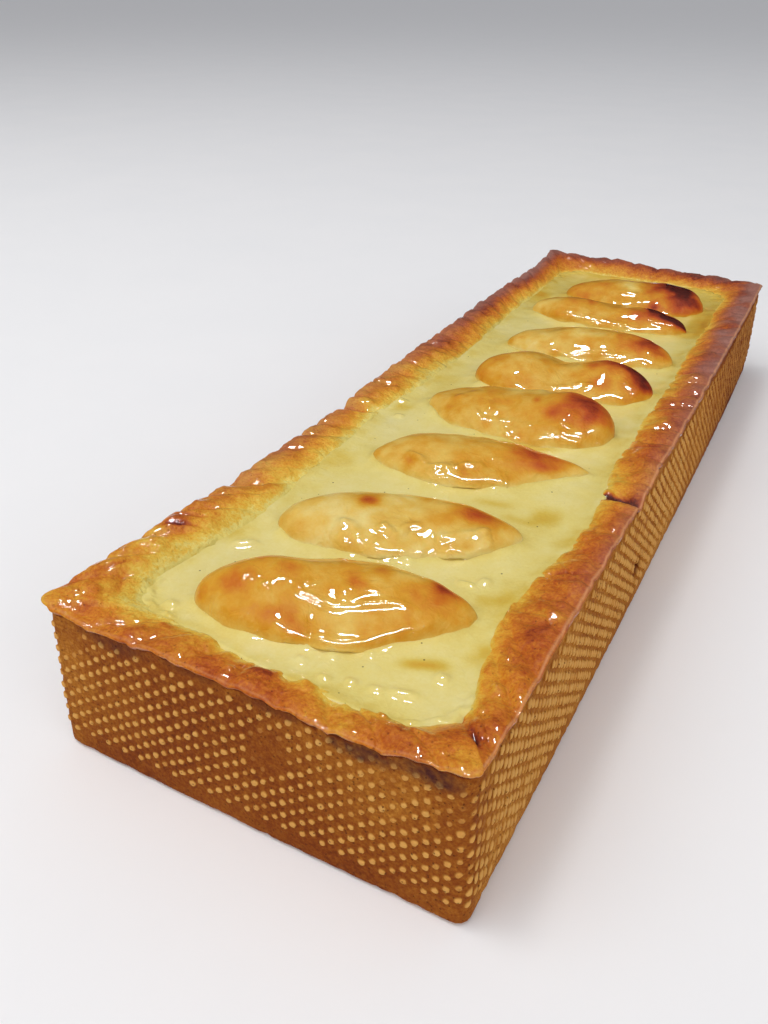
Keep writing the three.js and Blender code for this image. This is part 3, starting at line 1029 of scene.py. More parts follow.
    def half_cells(self, columns: Array, step: int, low_row: int, high_row: int) -> tuple[Array, Array]:
        """Closes the half cells at the ends of the columns.

        Args:
            columns: The columns.
            step: The lowest step of the half cells on the lines beside the columns.
            low_row: The row of their lower end on the middle lines.
            high_row: The row of their upper end.

        Returns:
            Their four-sided faces and their three-sided ones.
        """
        low, high = self.middle(columns, low_row), self.middle(columns, high_row)
        left = [self.line(columns, step + k) for k in range(3)]
        right = [self.line(columns + 1, step + k) for k in range(3)]
        quads = [[left[1], low, high, left[2]], [low, right[1], right[2], high]]
        triangles = [[left[0], low, left[1]], [low, right[0], right[1]]]
        four, three = ([np.stack(face, axis=1) for face in faces] for faces in (quads, triangles))
        return np.concatenate(four), np.concatenate(three)

    def border_ring(self, top: bool) -> Array:
        """Lists the points along one end of the band of dots.

        Args:
            top: Whether it is the upper end.

        Returns:
            Their indices, in order round the case.
        """
        columns = np.arange(self.columns)
        even_row, odd_row = (self.dot_rows + 1, self.dot_rows) if top else (0, self.dot_rows + 1)
        row = np.where(columns % 2 == 0, even_row, odd_row)
        line = self.line(columns, self.steps if top else 0)
        return np.stack([line, self.middle(columns, row)], axis=1).ravel()

    def inner_ring(self, st: Stations, share: float, z: Array) -> Array:
        """Places a ring inside the case, just beyond a share of the rim's breadth.

        Args:
            st: The stations.
            share: The share.
            z: The height at each station.

        Returns:
            The points.
        """
        case = self.case
        breadth = case.read(case.breadth, st.side, case.point(st, case.usual_breadth, case.inner_radius))
        radius = case.rim_radius(np.full(len(z), share))
        return np.column_stack([case.ring(st, share * breadth - self.tuck, radius), z])

    def skin(self) -> Skin:
        """Makes the whole body of the case, closed: outside, top edge, hollow, floor and underside.

        Returns:
            The body, with a level for each dot.
        """
        case = self.case
        band = self.dots()
        count = 2 * self.columns
        distance = np.arange(count) * self.spacing / 2
        st = case.stations(distance)
        rise = np.maximum(self.crown(distance) - self.headroom, self.band_top) + 0.4 - self.band_top
        below = [self.surface(distance, np.full(count, z)) for z in (0.0, 0.28, 0.8, 1.5, 2.4, 3.3)]
        above = [self.surface(distance, self.band_top + share * rise) for share in (0.25, 0.5, 0.75, 1.0)]
        edge = np.minimum(above[-1][:, 2], case.shore)
        rim_foot, floor = np.full(count, case.shore - 1.2), np.full(count, case.floor)
        inner = [(0.4, edge - 0.8), (1.0, rim_foot), (1.0, floor)]
        rings = below + above + [self.inner_ring(st, share, z) for share, z in inner]
        starts = len(band.points) + count * np.arange(len(rings))
        around = [start + np.arange(count) for start in starts]
        lower = around[: len(below)] + [self.border_ring(False)]
        upper = [self.border_ring(True)] + around[len(below) :]
        quads = [self.band_faces(a, b) for chain in (lower, upper) for a, b in zip(chain, chain[1:])]
        middles = np.array([[0, 0, 0.0], [0, 0, case.floor]])
        points = np.concatenate([band.points, *rings, middles])
        fans = [self.fan(around[0], len(points) - 2)[:, ::-1], self.fan(around[-1], len(points) - 1)]
        dot = np.concatenate([band.masks["dot"], np.zeros(len(points) - len(band.points))])
        faces = [np.concatenate([band.faces[0], *quads]), np.concatenate([band.faces[1], *fans])]
        return Skin(points, faces, self.masks(points, dot))

    def masks(self, points: Array, dot: Array) -> dict[str, Array]:
        """Sets the levels that the finish reads.

        Args:
            points: The points of the wall.
            dot: How well formed the dot is at each.

        Returns:
            The levels of dots, tone and painted shade, with those of the rim at 0.
        """
        x, y, z = points.T
        half_width = self.case.width / 2 - self.corner_skip
        half_length = self.case.length / 2 - self.corner_skip
        beyond = y > self.near_corner_y
        others = [(x > half_width) & beyond, y > half_length, (x < -half_width) & beyond]
        side = np.select(others, [Side.RIGHT.value, Side.FAR.value, Side.LEFT.value], Side.NEAR.value)
        onward = np.where(side % 2 == 0, x, y)
        tone = 0.45 + 0.2 * self.coarse.at(points + 90, 26, 3)
        # Painted light: the right wall's tone is raised near its front end, where it faces the light, and
        # lowered towards its far end.
        painted_right_light = smooth((x - 40) / 4) * smooth((y - self.near_corner_y) / 8)
        tone += (0.28 - 0.42 * smooth((y + 20) / 110)) * painted_right_light + 0.12 * (side == Side.LEFT.value)
        tone += 0.14 * smooth((-x - 34) / 8) * (side == Side.NEAR.value)
        # Painted shade: a dark shadow under the rim's lip on the near wall, and shade in the holes, where the
        # tone is also darkened.
        shade_and_sheen = sum(patch.strength(side, onward, z) for patch in self.lip_shadows)
        hole = sum(patch.strength(side, onward, z) for patch in self.holes)
        shade_and_sheen, tone = shade_and_sheen + 0.7 * hole, tone - 0.8 * hole
        weaker = 1 - 0.45 * (side == Side.RIGHT.value) * smooth((y + 20) / 90)
        dot = dot * weaker * (1 - np.clip(hole, 0, 1))
        levels = {"dot": dot, "tone": np.clip(tone, 0, 1), "shade_and_sheen": np.clip(shade_and_sheen, 0, 1.4)}
        return levels | {"rim": np.zeros(len(points)), "wet": np.zeros(len(points))}

    @staticmethod
    def band_faces(low: Array, high: Array) -> Array:
        """Joins two rings of points by squares."""
        return np.stack([low, np.roll(low, -1), np.roll(high, -1), high], axis=1)

    @staticmethod
    def fan(ring: Array, middle: int) -> Array:
        """Closes a ring with triangles from its middle, facing up."""
        return np.stack([np.full(len(ring), middle), ring, np.roll(ring, -1)], axis=1)


@dataclass
class Crust:
    """The whole pastry case, which stands for the solid crust."""

    wall: Wall
    rim: Rim
    slot: str = "baked_pastry"

    def build(self, finish: Material) -> Object:
        """Makes the case, closed and in one piece.

        Args:
            finish: The pastry's material.

        Returns:
            The case.
        """
        body = self.wall.skin().object("pastry_case", finish)
        rim = self.rim.skin().object("pastry_rim", finish)
        case = combined(body, rim, Joining.TOGETHER)
        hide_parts("crust")
        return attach(case, BODY)


# ---- the apples


@dataclass(frozen=True)
class Ridge:
    """A fold in a wedge's skin, or a groove where its height is below 0, along a path of places (t, turn)."""

    path: tuple[tuple[float, float], ...]
    height: float = 0.6
    width: float = 1.15


@dataclass(frozen=True)
class Mark:
    """A blotch or knob on a wedge: its middle, its reach along and round the wedge, and its strength."""

    t: float
    turn: float
    reach_t: float
    reach_turn: float
    bake: float = 0.0
    height: float = 0.0

    def strength(self, t: Array, turn: Array) -> Array:
        """How strongly the mark shows at each place, from 0 to 1."""
        return np.exp(-(((t - self.t) / self.reach_t) ** 2) - ((turn - self.turn) / self.reach_turn) ** 2)


@dataclass(frozen=True)
class Wedge:
    """One apple wedge, from the same sizes and formulas as the solid one, with its own ridges and marks.

    Places on it are `t`, from -1 at its left end to 1 at its right end, and `turn`, from 0 at the far side
    over the crest to pi at the near side.
    """

    number: int
    x: float
    y: float
    turn: float
    length: float
    breadth: float
    rise: float
    tilt: float
    bow: float
    lean: float
    taper: float
    left_taper: float
    saddle: float
    scoop: float
    bake: float
    ridges: tuple[Ridge, ...] = ()
    marks: tuple[Mark, ...] = ()
    depth: float = 7.0
    level: float = 32.7

    def fullness(self, t: Array) -> Array:
        """Finds half the breadth of the wedge.

        Args:
            t: The places along it.

        Returns:
            The half breadth at each place, as a share.
        """
        held = np.clip(np.abs(t), 0, 1)
        narrowing = self.taper * np.maximum(0, t) + self.left_taper * np.maximum(0, -t)
        return (1 - held**2.4) ** 0.6 * (1 - narrowing)

    def surface(self, t: Array, turn: Array) -> Array:
        """Places points on the wedge's plain form.

        Args:
            t: The places along it.
            turn: The places round it.

        Returns:
            The points, about the wedge's own middle.
        """
        seed = self.number - 1
        full = self.fullness(t)
        lift = np.sin(turn)
        knobs = 1 + 0.05 * np.sin(3.1 * t + seed) + 0.03 * np.sin(7.3 * t + 2.3 * seed)
        half = self.breadth / 2 * full * knobs
        crest = self.rise * (1 + self.tilt * t) * full**0.7 - self.saddle * bump(t, 0.5)
        hollow = self.scoop * bump(t - 0.15, 0.6) * bump(turn - 2.5, 0.8)
        above = crest * np.maximum(lift, 0) ** 0.85 - hollow
        z = np.where(lift > 0, above, self.depth * full**0.5 * lift)
        shift = self.lean * half * np.maximum(0, lift) + self.bow * (1 - t * t)
        return np.column_stack([t * self.length / 2, np.cos(turn) * half + shift + 0.6 * hollow, z])

    def line(self, path: tuple[tuple[float, float], ...], steps: int = 8) -> Array:
        """Places a path on the wedge's plain form.

        Args:
            path: The places (t, turn) that it follows.
            steps: How many points each leg gets.

        Returns:
            The points.
        """
        legs = np.arange(len(path))
        fine = np.linspace(0, len(path) - 1, steps * (len(path) - 1) + 1)
        t, turn = (np.interp(fine, legs, part) for part in zip(*path))
        return self.surface(t, turn)

    def placed(self, points: Array, centring: float) -> Array:
        """Moves points from the wedge's own middle to its place in the tart.

        Args:
            points: The points.
            centring: How far the tart is moved across to stand in the middle.

        Returns:
            The moved points.
        """
        cosine, sine = math.cos(math.radians(self.turn)), math.sin(math.radians(self.turn))
        x = points[:, 0] * cosine - points[:, 1] * sine + self.x + centring
        y = points[:, 0] * sine + points[:, 1] * cosine + self.y
        return np.column_stack([x, y, points[:, 2] + self.level])

    def waterline(self, centring: float, steps: int = 120) -> Array:
        """Finds the outline of the wedge where it enters the custard.

        Args:
            centring: How far the tart is moved across to stand in the middle.
            steps: How many points each side gets.

        Returns:
            The places, one to a row.
        """
        t = np.cos(np.linspace(0, math.pi, steps))
        both = [self.surface(t, np.full(steps, turn)) for turn in (0.0, math.pi)]
        return self.placed(np.concatenate(both), centring)[:, :2]


@dataclass
class Apples:
    """The eight wedges, with their fine form."""

    wedges: tuple[Wedge, ...]
    centring: float
    sections: int = 190
    crown_turns: int = 100
    root_turns: int = 16
    slot: str = "glazed_apple"

    def __post_init__(self) -> None:
        """Draws the unevenness."""
        self.coarse, self.fine = Noise(31), Noise(32)

    def relief(self, wedge: Wedge, t: Array, turn: Array, place: Array) -> Array:
        """How far the wedge's skin stands out of its plain form.

        Args:
            wedge: The wedge.
            t: The place along it.
            turn: The place round it.
            place: The points of its plain form.

        Returns:
            The height of the relief at each point.
        """
        seeded = place + 37.0 * wedge.number
        body = 0.34 * self.coarse.at(seeded, 9.0, 2) + 0.08 * self.fine.at(seeded, 3.4)
        body += 0.45 * self.coarse.at(seeded * [1, 1, 0.2] + 90, 5.5) * (1 - np.abs(np.sin(turn))) ** 2
        folds = np.zeros(len(place))
        wander = 0.18 * np.column_stack([self.fine.at(seeded + shift, 2.6) for shift in (5.0, 9.0, 14.0)])
        uneven = 0.95 + 0.25 * self.fine.at(seeded, 4.0)
        for ridge in wedge.ridges:
            far, share = nearest(place + wander, wedge.line(ridge.path))
            faded = smooth(6 * share + 0.25) * smooth(6 * (1 - share) + 0.25)
            folds += ridge.height * np.exp(-((far / ridge.width) ** 2)) * faded * uneven
        return body + folds + sum(mark.height * mark.strength(t, turn) for mark in wedge.marks)

    def baked(self, wedge: Wedge, t: Array, turn: Array, place: Array) -> Array:
        """Finds how brown the wedge is.

        Args:
            wedge: The wedge.
            t: The places along it.
            turn: The places round it.
            place: Their points on its plain form.

        Returns:
            A level for each place, from 0 for pale to 1 for burnt.
        """
        seeded = place + 61.0 * wedge.number
        blotches = 0.13 * self.coarse.at(seeded, 9, 3) + 0.07 * self.fine.at(seeded, 3.2, 2)
        marks = 1.4 * sum(mark.bake * mark.strength(t, turn) for mark in wedge.marks)
        film = 0.18 * np.exp(-np.maximum(0, place[:, 2] - 0.5) / 0.5)
        return np.clip(wedge.bake + blotches + marks - film, 0, 1)

    def build(self, finish: Material) -> list[Object]:
        """Makes the wedges."""
        return [self.build_one(wedge, finish) for wedge in self.wedges]

    def build_one(self, wedge: Wedge, finish: Material) -> Object:
        """Makes one wedge: rings of points between two tips.

        Args:
            wedge: The wedge.
            finish: The apple's material.

        Returns:
            The wedge, closed.
        """
        t_line = -np.cos(np.linspace(0, math.pi, self.sections + 2)[1:-1])
        crown = np.linspace(0, math.pi, self.crown_turns, endpoint=False)
        root = np.linspace(math.pi, math.tau, self.root_turns, endpoint=False)
        turn_line = np.concatenate([crown, root])
        t, turn = (part.ravel() for part in np.meshgrid(t_line, turn_line, indexing="ij"))
        place = wedge.surface(t, turn)
        step = 1e-3
        after, before = (wedge.surface(np.clip(t + shift, -1, 1), turn) for shift in (step, -step))
        along_t = after - before
        along_turn = wedge.surface(t, turn + step) - wedge.surface(t, turn - step)
        normal = np.cross(along_t, along_turn)
        normal /= np.maximum(np.linalg.norm(normal, axis=1), 1e-9)[:, None]
        outward = np.where(np.sum(normal * (place - [0, wedge.bow, 0]), axis=1) < 0, -1.0, 1.0)
        normal *= np.median(outward)
        fade = smooth((1 - np.abs(t)) * 12)
        skin = place + normal * (self.relief(wedge, t, turn, place) * fade)[:, None]
        tips = np.array([[-wedge.length / 2, 0, 0], [wedge.length / 2, 0, 0]])
        points = wedge.placed(np.concatenate([skin, tips]), self.centring)
        count = len(turn_line)
        quads = grid_faces(self.sections, count, wrap_columns=True)
        ring = np.arange(count)
        last = (self.sections - 1) * count
        left = np.stack([np.full(count, len(skin)), np.roll(ring, -1), ring], axis=1)
        right = np.stack([np.full(count, len(skin) + 1), last + ring, last + np.roll(ring, -1)], axis=1)
        bake = self.baked(wedge, t, turn, place)
        tip_bake = [bake[:count].mean(), bake[last:].mean()]
        masks = {"tone": np.concatenate([bake, tip_bake])}
        made = Skin(points, [quads, np.concatenate([left, right])[:, ::-1]], masks)
        piece = made.object(f"apple_wedge_{wedge.number}", finish)
        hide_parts(f"apple_{wedge.number}")
        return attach(piece, BODY)


# ---- the custard


@dataclass
class Custard:
    """The custard that fills the case: a level top that climbs the rim and the wedges."""

    case: Case
    wedges: tuple[Wedge, ...]
    level: float = 32.7
    hug: float = 0.6
    ripple: float = 0.25
    overlap: float = 2.4
    gap: float = 0.3
    cell: float = 0.42
    settled: float = 0.15
    shore_steps: int = 700
    slot: str = "baked_custard"
    spots: tuple[Spot, ...] = listed(
        Spot,
        (25, -121, 9, 3.6, 25, 0, 0.7), (33, -113, 9, 5, 60, 0, 0.3), (27, -62, 7, 9, 10, 0, 0.5),
        (28, -98, 6, 6, 0, 0, 0.25), (22, -66, 8, 4, 0, 0, 0.3), (-28, -60, 8, 8, 0, 0, 0.15),
        (10, -31.5, 18, 4, 15, 0, 0.5), (14, -62, 10, 4, 15, 0, 0.35), (-27, 0, 8, 12, 0, 0, 0.2),
        (-29, -24, 5, 6, 0, 0, 0.35), (0, 121, 40, 9, 3, 0, 0.6), (2, 91, 30, 6, 4, 0, 0.6),
        (31, 90, 8, 34, 0, 0, 0.5), (0, 61, 26, 5, 4, 0, 0.35), (2, 28, 24, 4, 8, 0, 0.25),
        (-30, 96, 6, 14, 0, 0, 0.3), (-26.6, -104.4, 5.6, 3.4, 35, -0.88), (-26, -129.2, 3.4, 3.2, 0, -0.81),
        (-24, -131.8, 2.2, 2.2, 0, -0.52), (7.1, -93.2, 4.6, 2.8, -20, -0.73),
        (21.5, -94.6, 4.2, 2.2, 0, -0.57), (24.6, -92.4, 2.6, 3.6, 0, -0.78),
        (15.7, -131.2, 2.4, 2.6, 0, -0.65), (10.9, -132.4, 2.6, 2.2, 0, -0.55),
        (4.9, -130.4, 2.4, 2.2, 0, -0.55), (25, -129.4, 5.6, 2.6, 12, -0.65),
        (20.2, -130.6, 3.0, 2.2, 10, -0.55), (29.2, -122.6, 2.8, 3.0, 0, -0.73),
        (14.9, -123.2, 2.0, 1.8, 0, -0.42), (3, -126.8, 2.6, 2.0, 0, -0.47), (9, -126.8, 2.6, 1.8, 0, -0.42),
        (-31, -21, 3.0, 3.0, 0, -0.72), (-27.5, -30, 2.6, 2.6, 0, -0.65),
    )

    def __post_init__(self) -> None:
        """Draws the unevenness."""
        self.coarse, self.fine = Noise(41), Noise(42)

    def near_fruit(self, x: Array, y: Array) -> Array:
        """Finds how close places are to the nearest wedge, as the solid custard has it.

        Args:
            x: Where each place is across the tart.
            y: Where it is along the tart.

        Returns:
            A level for each place, from 0 to 1 at a wedge's middle.
        """
        shares = []
        for wedge in self.wedges:
            cosine, sine = math.cos(math.radians(wedge.turn)), math.sin(math.radians(wedge.turn))
            dx, dy = x - wedge.x, y - wedge.y
            across = (dx * cosine + dy * sine) / (wedge.length / 2 + 6)
            onward = (dy * cosine - dx * sine) / (wedge.breadth / 2 + 6)
            shares.append(bump(np.hypot(across, onward), 1.3))
        return np.max(shares, axis=0)

    def outline(self, count: int, overlap: float) -> Array:
        """Draws the edge of the custard.

        Args:
            count: How many places it has.
            overlap: How far it is beyond the end of the case's hollow.

        Returns:
            The places, one to a row.
        """
        case = self.case
        st = case.stations(np.arange(count) * case.girth / count)
        breadth = case.read(case.breadth, st.side, case.point(st, case.usual_breadth, case.inner_radius))
        return case.ring(st, breadth - overlap, case.inner_radius)

    def apart(self, flat: Array, shore: Array) -> tuple[Array, Array]:
        """Measures how far places are from the wedges and from the shore.

        Args:
            flat: The places, one to a row.
            shore: The line where the hollow of the case ends.

        Returns:
            How far each is from the wedges, and how far it is inside the shore.
        """
        waterlines = [wedge.waterline(self.case.centring) for wedge in self.wedges]
        to_fruit, _ = nearest(flat, np.concatenate(waterlines))
        to_rim, _ = nearest(flat, shore)
        return to_fruit, np.where(self.within(flat, shore), to_rim, -to_rim)

    @staticmethod
    def within(flat: Array, shore: Array) -> Array:
        """Tells which places are inside a closed line, by how often a ray from each crosses it.

        Args:
            flat: The places, one to a row.
            shore: The closed line.

        Returns:
            Whether each place is inside.
        """
        crossed = np.zeros(len(flat), bool)
        for (x0, y0), (x1, y1) in zip(shore, np.roll(shore, -1, axis=0)):
            if y0 == y1:
                continue
            spans = (flat[:, 1] >= min(y0, y1)) & (flat[:, 1] < max(y0, y1))
            crossed ^= spans & (flat[:, 0] < x0 + (flat[:, 1] - y0) * (x1 - x0) / (y1 - y0))
        return crossed

    def height(self, x: Array, y: Array, to_rim: Array, to_fruit: Array) -> Array:
        """Finds the height of the custard's top.

        Args:
            x: Where each place is across the tart.
            y: Where it is along the tart.
            to_rim: How far it is inside the shore.
            to_fruit: How far it is from the wedges.

        Returns:
            The height at each place.
        """
        wave = np.sin(x * 0.2 + y * 0.05) * np.cos(y * 0.12 - x * 0.07)
        flat = np.column_stack([x, y, 0 * x])
        fine = 0.1 * self.coarse.at(flat, 8, 2) + 0.03 * self.fine.at(flat, 3.2)
        uneven = self.coarse.at(flat + 70, 5, 2)
        outside = np.maximum(0, -to_rim)
        climb = 0.5 * np.exp(-np.maximum(0, to_rim) / 1.8) + 0.2 * np.minimum(outside, 1.9)
        climb -= 0.7 * np.maximum(0, outside - 1.9)
        climb += (0.55 + 0.5 * uneven) * np.exp(-to_fruit / (1.3 + 0.5 * uneven))
        swell = sum(spot.depth * spot.strength(x + self.case.centring, y) for spot in self.spots)
        height = self.level + self.hug * self.near_fruit(x, y) + self.ripple * wave
        return height + fine + climb - swell - self.settled

    def build(self, finish: Material) -> Object:
        """Makes the custard, closed: a fine top and a plain body under it.

        Args:
            finish: The custard's material.

        Returns:
            The custard.
        """
        shore, edge = self.outline(self.shore_steps, 0.0), self.outline(self.shore_steps, self.overlap)
        spans = zip(edge.min(axis=0), edge.max(axis=0))
        lines = [np.arange(low, high + self.cell, self.cell) for low, high in spans]
        columns, rows = len(lines[0]), len(lines[1])
        flat = np.stack(np.meshgrid(*lines, indexing="xy"), axis=2).reshape(-1, 2)
        to_fruit, to_rim = self.apart(flat, shore)
        x, y = flat.T
        top = np.column_stack([flat, self.height(x - self.case.centring, y, to_rim, to_fruit)])
        faces = [grid_faces(rows, columns)]
        border = np.concatenate(
            [
                np.arange(columns - 1),
                np.arange(rows - 1) * columns + columns - 1,
                rows * columns - 1 - np.arange(columns - 1),
                (rows - 1 - np.arange(rows - 1)) * columns,
            ]
        )
        low = np.column_stack([flat[border], np.zeros(len(border))])
        points = np.concatenate([top, low, [[0, 0, 0]]])
        low_ring = len(top) + np.arange(len(border))
        faces.append(Wall.band_faces(low_ring, border))
        faces.append(Wall.fan(low_ring, len(points) - 1)[:, ::-1])
        tone = np.concatenate([self.baked(top, to_rim, to_fruit), np.zeros(len(border) + 1)])
        block = Skin(points, faces, {"tone": tone}).object("custard_filling", finish)
        ring = np.arange(len(edge))
        floor = np.column_stack([edge, np.full(len(edge), self.case.floor + self.gap)])
        roof = floor + [0, 0, self.level]
        middles = np.array([[0, 0, floor[0, 2]], [0, 0, roof[0, 2]]])
        sides = [Wall.band_faces(ring, ring + len(edge))]
        ends = [Wall.fan(ring, 2 * len(edge))[:, ::-1], Wall.fan(ring + len(edge), 2 * len(edge) + 1)]
        hollow = Skin(np.concatenate([floor, roof, middles]), sides + ends).object("hollow")
        piece = combined(block, hollow, Joining.OVERLAP)
        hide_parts("custard")
        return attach(piece, BODY)

    def baked(self, points: Array, to_rim: Array, to_fruit: Array) -> Array:
        """Finds how golden the custard is.

        Args:
            points: The points of its top.
            to_rim: How far each is inside the shore.
            to_fruit: How far it is from the wedges.

        Returns:
            A level for each point, from 0 to 1.
        """
        x, y, _ = points.T
        broken = 0.6 + 0.6 * self.fine.at(points, 4.0, 2)
        tone = 0.16 + 0.1 * self.coarse.at(points, 16, 3) + 0.16 * np.exp(-to_fruit / 1.4)
        tone += 0.22 * np.exp(-np.maximum(0, to_rim) / 3.2) * broken
        golden = sum(spot.bake * spot.strength(x, y) for spot in self.spots)
        tone += golden * 0.7 + 0.2 * smooth((y - 50) / 60)
        return np.clip(tone, 0, 1)


# ---- shader nodes


def linear(colour: Colour) -> tuple[float, float, float, float]:
    """Turns a colour into the linear light that shaders take.

    Args:
        colour: The colour, in levels of 0 to 255.

    Returns:
        Its red, green, blue and alpha.
    """
    levels = [level / 255 for level in colour]
    light = [level / 12.92 if level <= 0.04045 else ((level + 0.055) / 1.055) ** 2.4 for level in levels]
    return (*light, 1.0)


Link = Socket | float | tuple
Inputs = dict[str | int, Link]
Ramp = tuple[tuple[float, Colour], ...]


@dataclass
class Nodes:
    """Adds nodes to one node tree."""

    tree: Tree

    def add(self, kind: str, inputs: Inputs | None = None, **settings: object) -> Node:
        """Adds a node.

        Args:
            kind: The node's type, without its "ShaderNode" start.
            inputs: What its sockets get: a value, or another node's output.
            **settings: Its other settings.

        Returns:
            The node.
        """
        node = self.tree.nodes.new(f"ShaderNode{kind}")
        for name, value in settings.items():
            setattr(node, name, value)
        for name, value in (inputs or {}).items():
            self.feed(node.inputs[name], value)
        return node

    def feed(self, socket: Socket, value: Link) -> None:
        """Links an output to a socket, or sets the socket's value.

        Args:
            socket: The socket.
            value: Another node's output, or a plain value.
        """
        if isinstance(value, Socket):
            self.tree.links.new(value, socket)
        else:
            socket.default_value = value

    def math(self, operation: str, *values: Link, clamp: bool = False) -> Socket:
        """Adds a sum, product or other number."""
        inputs = dict(enumerate(values))
        return self.add("Math", inputs, operation=operation, use_clamp=clamp).outputs[0]

    def step(self, value: Link, low: float, high: float) -> Socket:
        """Eases a value from 0 at `low` to 1 at `high`."""
        inputs = {"Value": value, "From Min": low, "From Max": high}
        return self.add("MapRange", inputs, interpolation_type="SMOOTHSTEP").outputs["Result"]

    def mix(self, share: Link, first: Link, second: Link) -> Socket:
        """Mixes two colours."""
        return self.add("Mix", {0: share, 6: first, 7: second}, data_type="RGBA").outputs[2]

    def ramp(self, share: Link, stops: Ramp) -> Socket:
        """Adds a row of colours to pick from.

        Args:
            share: Which to pick, from 0 to 1.
            stops: The colours, with the share of each.

        Returns:
            The picked colour.
        """
        node = self.add("ValToRGB", {"Fac": share})
        elements = node.color_ramp.elements
        while len(elements) < len(stops):
            elements.new(1.0)
        for element, (place, colour) in zip(elements, stops):
            element.position, element.color = place, linear(colour)
        return node.outputs["Color"]

    def level(self, name: str) -> Socket:
        """Reads one of the levels that the mesh holds."""
        return self.add("Attribute", attribute_name=name).outputs["Fac"]

    def place(self) -> Socket:
        """The place on the object, in metres."""
        return self.add("TexCoord").outputs["Object"]

    def noise(self, size: float, detail: float = 3.0) -> Socket:
        """Adds unevenness whose largest lumps are `size` millimetres across."""
        inputs = {"Vector": self.place(), "Scale": 1 / (size * MM), "Detail": detail, "Roughness": 0.55}
        return self.add("TexNoise", inputs).outputs["Fac"]

    def group(self, tree: Tree, **inputs: Link) -> Node:
        """Places a node group.

        Args:
            tree: The group.
            **inputs: What its sockets get, with words in their names joined by underscores.

        Returns:
            The node.
        """
        node = self.add("Group", node_tree=tree)
        for name, value in inputs.items():
            self.feed(node.inputs[name.replace("_", " ").capitalize()], value)
        return node


class Effect:
    """A shared effect: a node group that is built once and placed in each finish with its own values."""

    name = ""
    inputs: dict[str, float] = {}
    outputs: dict[str, str] = {}

    def __init__(self) -> None:
        """Builds the group."""
        self.tree = bpy.data.node_groups.new(self.name, "ShaderNodeTree")
        for name, value in self.inputs.items():
            socket = self.tree.interface.new_socket(name, in_out="INPUT", socket_type="NodeSocketFloat")
            socket.default_value = value
        for name, kind in self.outputs.items():
            self.tree.interface.new_socket(name, in_out="OUTPUT", socket_type=kind)
        self.nodes = Nodes(self.tree)
        self.given = self.nodes.tree.nodes.new("NodeGroupInput").outputs
        result = self.nodes.tree.nodes.new("NodeGroupOutput")
        for name, socket in self.make().items():
            self.tree.links.new(socket, result.inputs[name])

    def make(self) -> dict[str, Socket]:
        """Adds the group's nodes and gives what each output gets."""
        raise NotImplementedError

    def scaled(self, size: Link) -> Socket:
        """Turns a size in millimetres into a texture's scale."""
        return self.nodes.math("DIVIDE", 1 / MM, size)


class Mottle(Effect):
    """Breaks up a level with soft blotches and fine grain."""

    name = "mottle"
    inputs = {"Level": 0.5, "Size": 5.0, "Spread": 0.4, "Grain": 0.15}
    outputs = {"Level": "NodeSocketFloat"}

    def make(self) -> dict[str, Socket]:
        """Adds two layers of noise to the level.

        Returns:
            What each output gets.
        """
        nodes, given = self.nodes, self.given
        place = nodes.place()
        coarse = {"Vector": place, "Scale": self.scaled(given["Size"]), "Detail": 4.0, "Roughness": 0.6}
        blotch = nodes.add("TexNoise", coarse)
        grain = nodes.add("TexNoise", {"Vector": place, "Scale": 1600.0, "Detail": 2.0, "Roughness": 0.6})
        soft = nodes.math("MULTIPLY", nodes.math("SUBTRACT", blotch.outputs["Fac"], 0.5), given["Spread"])
        sharp = nodes.math("MULTIPLY", nodes.math("SUBTRACT", grain.outputs["Fac"], 0.5), given["Grain"])
        total = nodes.math("ADD", nodes.math("ADD", given["Level"], soft), sharp, clamp=True)
        return {"Level": total}


class Pits(Effect):
    """Small round pits or specks, scattered."""

    name = "pits"
    inputs = {"Spacing": 1.0, "Share": 0.3, "Width": 0.3}
    outputs = {"Mask": "NodeSocketFloat"}

    def make(self) -> dict[str, Socket]:
        """Keeps the middles of some cells of a cell texture.

        Returns:
            What each output gets.
        """
        nodes, given = self.nodes, self.given
        cells = nodes.add("TexVoronoi", {"Vector": nodes.place(), "Scale": self.scaled(given["Spacing"])})
        picked = nodes.add("SeparateColor", {"Color": cells.outputs["Color"]}).outputs[0]
        kept = nodes.math("LESS_THAN", picked, given["Share"])
        inner = nodes.math("MULTIPLY", given["Width"], 0.5)
        inputs = {"Value": cells.outputs["Distance"], "From Min": given["Width"], "From Max": inner}
        round_spot = nodes.add("MapRange", inputs, interpolation_type="SMOOTHSTEP").outputs["Result"]
        return {"Mask": nodes.math("MULTIPLY", kept, round_spot)}


class Glaze(Effect):
    """The ripples of a thin clear glaze: soft folds with finer ones on them."""

    name = "glaze"
    inputs = {"Size": 2.5, "Warp": 1.2}
    outputs = {"Height": "NodeSocketFloat"}

    def make(self) -> dict[str, Socket]:
        """Adds warped noise, with finer folds in it.

        Returns:
            What each output gets.
        """
        nodes, given = self.nodes, self.given
        inputs = {"Vector": nodes.place(), "Scale": self.scaled(given["Size"])}
        inputs |= {"Detail": 2.5, "Roughness": 0.5, "Distortion": given["Warp"]}
        return {"Height": nodes.add("TexNoise", inputs).outputs["Fac"]}


@dataclass
class Effects:
    """The shared effects."""

    mottle: Mottle = field(default_factory=Mottle)
    pits: Pits = field(default_factory=Pits)
    glaze: Glaze = field(default_factory=Glaze)


# ---- finishes


